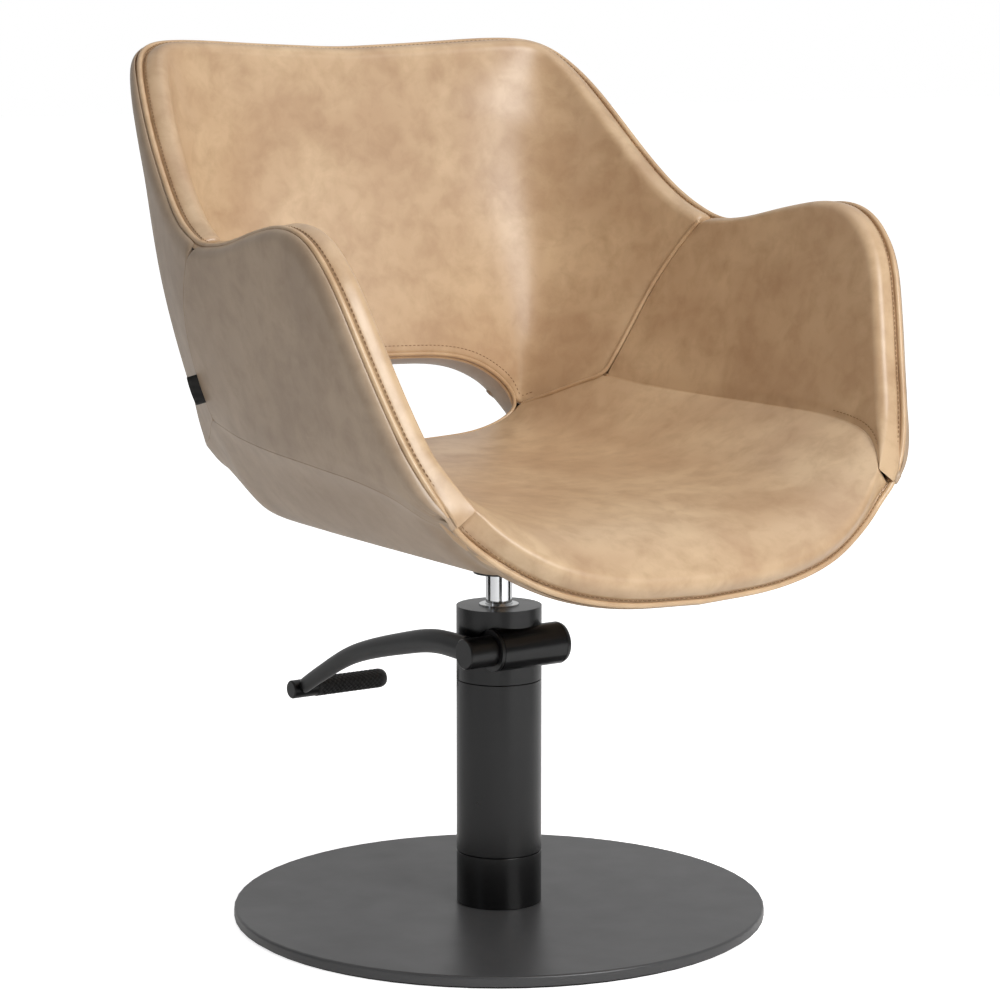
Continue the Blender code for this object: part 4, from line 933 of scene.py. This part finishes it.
for hand, side in ((1, "left"), (-1, "right")):
    cord, tape, backing = f"crease_cord_{side}", f"arm_seam_tape_{side}", f"outer_seam_tape_{side}"
    add_piece(cord, tube_mesh(cord, crease_line(hand, CREASE_SINK), CREASE_CORD), PAINTED_HIGHLIGHT_COVER, "seat",
              [f"crease_piping_{side}"], smoothing=1)
    seam, tops = SKIN["arm_" + side][:-1, 0], NORMALS["arm_" + side][:-1, 0]
    near_tip = np.exp(-(from_tip(seam) / TAPE_TIP) ** 2)
    tape_line = seam - (TAPE_DEPTH + TAPE_SINK * near_tip)[:, None] * tops
    add_piece(tape, tube_mesh(tape, tape_line, TAPE_RADIUS + TAPE_SWELL * near_tip), PAINTED_HIGHLIGHT_COVER, "seat")
    behind_back = (BED["back"] - (OUTER_DEPTH - BACKING_IN) * BED_NORMALS["back"])[:CREASE_CELLS + 4, 0]
    add_piece(backing, tube_mesh(backing, behind_back * [hand, 1, 1], BACKING_RADIUS), PAINTED_SHADE_COVER, "seat")
print("crease cords and tapes laid")

# %% [markdown]
# ## The lumbar slot
# The slot's upper lip is finished with a double roll, two thin cords side by side, and a strip of cover
# lines the thickness of the foam behind them down to the outer panel.

# %% Slot rolls and lining
ROLL_CORD = 0.0021
FIRST_ROLL = (-0.0004, 0.0020)
SECOND_ROLL = (0.0012, 0.0058)
LINING_TOP = 0.0055
LINING_SHORT = 0.002
LINING_LINES = 8
LINING_THICK = 0.0012


def slot_line(layer, row=0):
    """The edge of the slot, or a row beside it, as one closed line: under the back, then behind the seat."""
    open_part = slice(CREASE_CELLS, CREASE_CELLS + 2 * SLOT_CELLS + 1)
    return np.vstack([layer["back"][open_part, row], layer["seat"][open_part, row][-2:0:-1]])


SLOT = slot_line(SKIN)
SLOT_NORMALS = unit(ring_relaxed(slot_line(NORMALS), 12))
SLOT_OUT = looking_out(SLOT, SLOT_NORMALS, slot_line(SKIN, 2))


def along_slot(out, depth, rounds=6):
    return ring_relaxed(SLOT + out * SLOT_OUT - depth * SLOT_NORMALS, rounds)


upper = slice(0, 2 * SLOT_CELLS + 1)
first_roll = along_slot(*FIRST_ROLL)
second_roll = along_slot(*SECOND_ROLL)
add_piece("slot_roll_front", tube_mesh("slot_roll_front", first_roll, ROLL_CORD, closed=True), PAINTED_HIGHLIGHT_COVER,
          "seat", ["slot_piping"], smoothing=1)
add_piece("slot_roll_rear", tube_mesh("slot_roll_rear", second_roll[upper], ROLL_CORD), PAINTED_HIGHLIGHT_COVER, "seat",
          smoothing=1)


def band_mesh(name, lines, thickness):
    """Closed strip through the lines, which run beside each other, with this thickness."""
    bm = bmesh.new()
    join_rings(bm, [[bm.verts.new(point) for point in line] for line in lines])
    bmesh.ops.recalc_face_normals(bm, faces=bm.faces)
    bmesh.ops.solidify(bm, geom=bm.faces[:], thickness=thickness)
    return finished_mesh(name, bm)


depths = np.linspace(LINING_TOP, PAD_THICK + OUTER_DEPTH - LINING_SHORT, LINING_LINES)
bulges = LINING_THICK / 2 + LINING_THICK * np.sin(np.linspace(0, pi, LINING_LINES))
lining = band_mesh("slot_lining", [along_slot(bulge, depth) for bulge, depth in zip(bulges, depths)],
                   LINING_THICK)
add_piece("slot_lining", lining, PAINTED_SHADE_COVER, "seat")
print("slot:", len(SLOT), "points round")

# %% [markdown]
# ## Topstitching
# Rows of stitches hold the cover beside the rim piping, above the slot and along the arm's seam. Each
# stitch is a short bent thread with its two ends in the cover. A texture can't give them real ends and
# shadows, so every stitch is a small capsule, and each row is one mesh. The thread is drawn 0.9 mm thick,
# a little thicker than the real one, so that it shows.

# %% Stitch rows
STITCH_LENGTH = 0.0034
STITCH_PITCH = 0.0048
THREAD_RADIUS = 0.00045
THREAD_SIDES = 6
STITCH_BOW = np.array([-0.9, 0.2, 0.5, 0.2, -0.9])
STITCH_TAPER = (0.5, 0.9, 1.0, 0.9, 0.5)


def stitched_row(name, line, normals):
    """Stitches along a line on the cover."""
    length = np.r_[0, np.cumsum(np.linalg.norm(np.diff(line, axis=0), axis=1))]
    count = int(length[-1] / STITCH_PITCH)
    bm = bmesh.new()
    for number in range(count):
        middle = (number + 0.5) * STITCH_PITCH
        marks = middle + np.linspace(-0.5, 0.5, 5) * STITCH_LENGTH
        points = np.stack([np.interp(marks, length, line[:, k]) for k in range(3)], 1)
        up = unit(np.array([np.interp(middle, length, normals[:, k]) for k in range(3)]))
        points = points + (THREAD_RADIUS * STITCH_BOW)[:, None] * up
        along = unit(points[-1] - points[0])
        side = np.cross(along, up)
        rings = []
        for point, size in zip(points, STITCH_TAPER):
            rings.append([bm.verts.new(point + THREAD_RADIUS * size * (cos(t) * side + sin(t) * up))
                          for t in np.linspace(0, 2 * pi, THREAD_SIDES, endpoint=False)])
        bm.faces.new(rings[0][::-1])
        bm.faces.new(rings[-1])
        join_rings(bm, rings)
    return add_piece(name, finished_mesh(name, bm), THREAD, "seat")


def sewn_beside(name, panel, distance, keep):
    """A row beside the panel's bottom seam, over the part of it that keep picks out."""
    points, normals = drawn_in([SKIN[panel], NORMALS[panel]], bottom=distance)
    return stitched_row(name, points[keep, 0], unit(normals[keep, 0]))


RIM_STITCH_DEPTH = 0.0198
SLOT_STITCH_IN = 0.0085
ARM_STITCH_IN = 0.0062
arm_front = slice(SEAT_ROWS * 3 // 4, -3)
stitched_row("rim_stitches", along_rim(0.0, RIM_STITCH_DEPTH), RIM_OUT)
sewn_beside("slot_stitches", "back", SLOT_STITCH_IN, slice(CREASE_CELLS + 1, -CREASE_CELLS - 1))
sewn_beside("arm_seam_stitches_left", "arm_left", ARM_STITCH_IN, arm_front)
sewn_beside("arm_seam_stitches_right", "arm_right", ARM_STITCH_IN, arm_front)
print("stitch rows made")

# %% [markdown]
# ## Turned and cast pieces
# The column, the head, the socket and the disc already have their true shapes as CAD. A real edge is never
# perfectly sharp though, so each gets a small bevel, which catches the light, and smooth shading. The
# imported meshes have split corners, so they are welded first.

# %% Bevels and finishes on the CAD pieces
WELD_DISTANCE = 0.00001
SHARP_ANGLE = 0.6


def eased(node, finish, bevel):
    """Welds and bevels a CAD piece without touching its own mesh, and gives it a finish."""
    piece = nodes[node]
    mesh = piece.data
    if "custom_normal" in mesh.attributes:
        mesh.attributes.remove(mesh.attributes["custom_normal"])
    mesh.shade_smooth()
    mesh.materials.clear()
    mesh.materials.append(finish)
    weld = piece.modifiers.new("weld", "WELD")
    weld.merge_threshold = WELD_DISTANCE
    if bevel:
        ease = piece.modifiers.new("eased edges", "BEVEL")
        ease.width = bevel
        ease.segments = 3
        ease.limit_method = "ANGLE"
        ease.angle_limit = SHARP_ANGLE
    piece.modifiers.new("even shading", "WEIGHTED_NORMAL").keep_sharp = False
    return piece


for name in ("pump_housing", "pump_head"):
    eased(name, COLUMN_COAT, 0.0006)
eased("base_collar", COLLAR_COAT, 0.0005)
eased("base_disc", DISC_COAT, 0.0006)
for name in ("barrel_ring", "barrel_cap", "seat_socket", "mounting_plate", "lever_hub", "pedal_rod"):
    eased(name, LEVER_COAT, 0.0005)
for name in ("piston_rod", "gland_ring"):
    eased(name, CHROME, 0.0003)
for name in ("lever_shaft", "pump_foot", "pressure_cylinder", "pump_block", "check_ball", "plunger",
             "plunger_spring"):
    eased(name, STEEL, 0.0)
for name in ("shaft_bush_left", "shaft_bush_right", "thrust_washer"):
    eased(name, BRONZE, 0.0)
for name in nodes:
    if name.startswith(("base_screw", "seat_bolt", "insert_nut")):
        eased(name, ZINC, 0.0003)
eased("anti_slip_sheet", RUBBER, 0.0)
eased("piston_cup", RUBBER, 0.0)
print("CAD pieces finished")

# %% [markdown]
# ## Side tag
# A short loop of tape is caught in the seam between the outer back and the outer side. It stands straight
# out of the seam, with its fold outwards. A strip that is bent over and given a thickness shows both.

# %% Folded tag
TAG_REACH = 0.0095
TAG_HALF = 0.015
TAG_FOLD = 0.0006
TAG_DROP = 0.009
TAG_SEWN_IN = 0.003
TAG_RISE = 0.6
TAG_DROOP = 0.0008
TAPE_THICK = 0.0004


def make_tag():
    tag_low, tag_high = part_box("side_tag")
    seam = BED["arm_right"][0] - OUTER_DEPTH * BED_NORMALS["arm_right"][0]
    row = int(np.argmin(abs(seam[:, 2] - (tag_low.z + tag_high.z) / 2 + TAG_DROP)))
    out = unit(-BED_NORMALS["arm_right"][0][row] + [0, TAG_RISE, 0])
    along = unit(seam[row + 1] - seam[row - 1])
    side = np.cross(out, along)
    loop = [(reach, -TAG_FOLD) for reach in np.linspace(-TAG_SEWN_IN, TAG_REACH, 6)]
    loop += [(TAG_REACH + TAG_FOLD * cos(t), TAG_FOLD * sin(t))
             for t in np.linspace(-pi / 2, pi / 2, 6)[1:-1]]
    loop += [(reach, TAG_FOLD) for reach in np.linspace(TAG_REACH, -TAG_SEWN_IN, 6)]
    bm = bmesh.new()
    rings = []
    for step in np.linspace(-1, 1, 9):
        start = seam[row] + step * TAG_HALF * along - TAG_DROOP * step * step * out
        rings.append([bm.verts.new(start + reach * out + thick * side) for reach, thick in loop])
    join_rings(bm, rings, around=False)
    bmesh.ops.recalc_face_normals(bm, faces=bm.faces)
    bmesh.ops.solidify(bm, geom=bm.faces[:], thickness=TAPE_THICK)
    mesh = finished_mesh("folded_side_tag", bm)
    return add_piece("folded_side_tag", mesh, TAPE, "seat", ["side_tag"])


make_tag()
print("tag sewn in")

# %% [markdown]
# ## Lever and pedal
# The lever is an oval steel bar that leaves the hub level and bends down to the pedal. The CAD bar has few
# sides, so it is drawn again here with more. The pedal's sleeve is moulded rubber with a diamond knurl, so
# that a shoe doesn't slip: two sets of shallow helical grooves that cross.

# %% Lever arm and knurled grip
hub_low, hub_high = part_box("lever_hub")
AXIS_Y = (hub_low.y + hub_high.y) / 2
AXIS_Z = (hub_low.z + hub_high.z) / 2
arm_low, arm_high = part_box("lever_arm")
ARM_X = (arm_low.x + arm_high.x) / 2
ARM_PATH = ((0.004, 0.002), (0.064, 0.001), (0.119, -0.010), (0.212, -0.0365), (0.277, -0.068),
            (0.309, -0.0855))
ARM_ROOT = 0.0125
ARM_TIP_RADIUS = 0.0078
ARM_FLATTEN = 0.70


def make_lever_arm():
    path = through([(ARM_X, AXIS_Y + out, AXIS_Z + up) for out, up in ARM_PATH], 48)
    mesh = tube_mesh("lever_bar", path, np.linspace(ARM_ROOT, ARM_TIP_RADIUS, len(path)), sides=20)
    for vert in mesh.vertices:
        vert.co.x = ARM_X + (vert.co.x - ARM_X) * ARM_FLATTEN
    return add_piece("lever_bar", mesh, LEVER_COAT, "lever", ["lever_arm"], smoothing=1)


GROOVES = 12
GROOVE_DEPTH = 0.0014
GRIP_SIDES = 112
GRIP_RINGS = 90
GROOVE_SHARE = 0.45
KNURL_FADE = 0.002
END_ROUND = 0.008
END_FLAT = 0.55


def make_grip():
    """A turned sleeve, whose surface drops along two crossing sets of helical grooves."""
    low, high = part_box("pedal_grip")
    radius = (high.z - low.z) / 2
    centre = Vector(((low.x + high.x) / 2, (low.y + high.y) / 2, (low.z + high.z) / 2))
    length = high.x - low.x
    pitch = 2 * pi * radius / GROOVES
    bm = bmesh.new()
    rings = []
    for station in np.linspace(0, 1, GRIP_RINGS):
        x = station * length
        from_end = length - x
        size = radius
        if from_end < END_ROUND:
            size = radius * (END_FLAT + (1 - END_FLAT) * (1 - (1 - from_end / END_ROUND) ** 2) ** 0.5)
        knurled = (min(1, max(0, (x - KNURL_FADE) / KNURL_FADE))
                   * min(1, max(0, (from_end - END_ROUND) / KNURL_FADE)))
        ring = []
        for k in range(GRIP_SIDES):
            turn = 2 * pi * k / GRIP_SIDES
            one = abs(sin(GROOVES * turn / 2 + pi * x / pitch))
            two = abs(sin(GROOVES * turn / 2 - pi * x / pitch))
            drop = GROOVE_DEPTH * knurled * (1 - min(one, two, GROOVE_SHARE) / GROOVE_SHARE)
            ring.append(bm.verts.new((low.x + x, centre.y + (size - drop) * cos(turn),
                                      centre.z + (size - drop) * sin(turn))))
        rings.append(ring)
    join_rings(bm, rings)
    bm.faces.new(rings[0][::-1])
    bm.faces.new(rings[-1])
    return add_piece("knurled_pedal_grip", finished_mesh("knurled_pedal_grip", bm), RUBBER, "lever",
                     ["pedal_grip"])


make_lever_arm()
make_grip()
print("lever and pedal made")

# %% [markdown]
# ## Camera
# The chair is seen from in front of its right arm, from just above the seat. A long lens from three metres
# keeps the bucket's proportions.

# %% Camera
LENS_MM = 117.6
CAMERA_PLACE = (-1.678, -2.487, 0.85)
CAMERA_AIM = (0.00114, 0, 0.39385)


def look_from(name, place, aim, data):
    """Puts a camera or a light at place, turned to the aim."""
    holder = bpy.data.objects.new(name, data)
    holder.location = place
    holder.rotation_euler = (Vector(aim) - Vector(place)).to_track_quat("-Z", "Y").to_euler()
    bpy.context.scene.collection.objects.link(holder)
    return holder


lens = bpy.data.cameras.new("camera")
lens.lens = LENS_MM
lens.clip_end = 50
camera = look_from("camera", CAMERA_PLACE, CAMERA_AIM, lens)
bpy.context.scene.camera = camera
print("camera", round((Vector(CAMERA_PLACE) - Vector(CAMERA_AIM)).length, 2), "m away")

# %% [markdown]
# ## Soft boxes
# The light is a plain studio: one large soft box in front of the sitter and above, which gives the seat's
# front roll its highlight, a weak one overhead for the edges, and a faint cool strip for the lever.

# %% Soft boxes
def soft_box(name, place, aim, size, watts, colour="FFFFFF"):
    box = bpy.data.lights.new(name, "AREA")
    box.shape = "RECTANGLE"
    box.size, box.size_y = size
    box.energy = watts
    box.color = linear(colour)[:3]
    return look_from(name, place, aim, box)


soft_box("key", (0.35, -3.0, 2.2), (0, 0, 0.5), (1.9, 1.7), 106)
soft_box("overhead", (0.3, -0.2, 2.7), (0, 0, 0.4), (2.0, 2.0), 12)
soft_box("side_strip", (-2.9, -0.1, 1.0), (0, 0, 0.4), (0.5, 1.8), 2, "F2F6FF")

print("three soft boxes up")

# %% [markdown]
# ## Room, floor and black cards
# The room is white where it is seen, but a room that shone evenly would leave no shape on black metal. So
# what it sheds on the chair is brightest from behind the chair and darkest from behind the camera, and
# three low black cards stand outside the picture. The world's background takes both through a light-path
# switch, and the floor glows a little in the same way, so that it ends up as white as the room.

# %% Room, floor and black cards
ROOM_BRIGHT = 0.62
ROOM_DARK = 0.06
DARK_SIDE = (-0.56, -0.83, 0.0)
FLAG_HIGH = 0.34
FLAGS = ((-0.50, -1.62, 0.75), (1.45, -0.55, 0.7), (-1.30, 0.95, 0.9))
FLOOR_WIDE = 40
FLOOR_SEEN = 0.80
FLOOR_SHED = 0.12


def seen_by_camera(tree, seen, otherwise):
    """A strength for what the camera sees itself, and another for what the room sheds on the chair."""
    direct = add_node(tree, "LightPath").outputs["Is Camera Ray"]
    return add_node(tree, "Mix", {0: direct, 2: otherwise, 3: seen}).outputs[0]


def pale_room():
    """White where it is seen. What it sheds on the chair is dimmer, and dimmest from behind the camera."""
    world = bpy.data.worlds.new("pale_room")
    bpy.context.scene.world = world
    world.use_nodes = True
    tree = world.node_tree
    facing = add_node(tree, "TexCoord").outputs["Generated"]
    toward = add_node(tree, "VectorMath", {0: facing, 1: DARK_SIDE}, operation="DOT_PRODUCT")
    fill = add_node(tree, "MapRange", {"Value": toward.outputs["Value"], "From Min": -1.0, "From Max": 0.95,
                                       "To Min": ROOM_BRIGHT, "To Max": ROOM_DARK})
    background = tree.nodes["Background"]
    background.inputs["Color"].default_value = linear("FFFFFF")
    tree.links.new(seen_by_camera(tree, 1.0, fill.outputs[0]), background.inputs["Strength"])


def flat_sheet(name, finish, width, depth):
    mesh = bpy.data.meshes.new(name)
    bm = bmesh.new()
    bmesh.ops.create_grid(bm, x_segments=1, y_segments=1, size=0.5)
    bmesh.ops.scale(bm, vec=(width, depth, 1), verts=bm.verts)
    bm.to_mesh(mesh)
    bm.free()
    mesh.materials.append(finish)
    return mesh


def black_flags():
    """Low black cards round the chair, which draw dark bands into the metal."""
    finish, _, surface, _ = new_finish("black_card", Roughness=0.95)
    surface.inputs["Base Color"].default_value = linear("050505")
    for number, (x, y, width) in enumerate(FLAGS, start=1):
        flag = look_from(f"black_flag_{number}", (x, y, FLAG_HIGH / 2), (0, 0, FLAG_HIGH / 2),
                         flat_sheet("black_flag", finish, width, FLAG_HIGH))
        flag.visible_camera = False


def pale_floor():
    """A lit white table top."""
    finish, tree, surface, _ = new_finish("pale_floor", Roughness=0.9)
    surface.inputs["Base Color"].default_value = linear("F4F4F4")
    surface.inputs["Emission Color"].default_value = linear("FFFFFF")
    tree.links.new(seen_by_camera(tree, FLOOR_SEEN, FLOOR_SHED), surface.inputs["Emission Strength"])
    floor = bpy.data.objects.new("floor", flat_sheet("floor", finish, FLOOR_WIDE, FLOOR_WIDE))
    bpy.context.scene.collection.objects.link(floor)


bpy.context.scene.view_settings.view_transform = "Standard"
pale_room()
pale_floor()
black_flags()
print("room, floor and", len(FLAGS), "cards set")
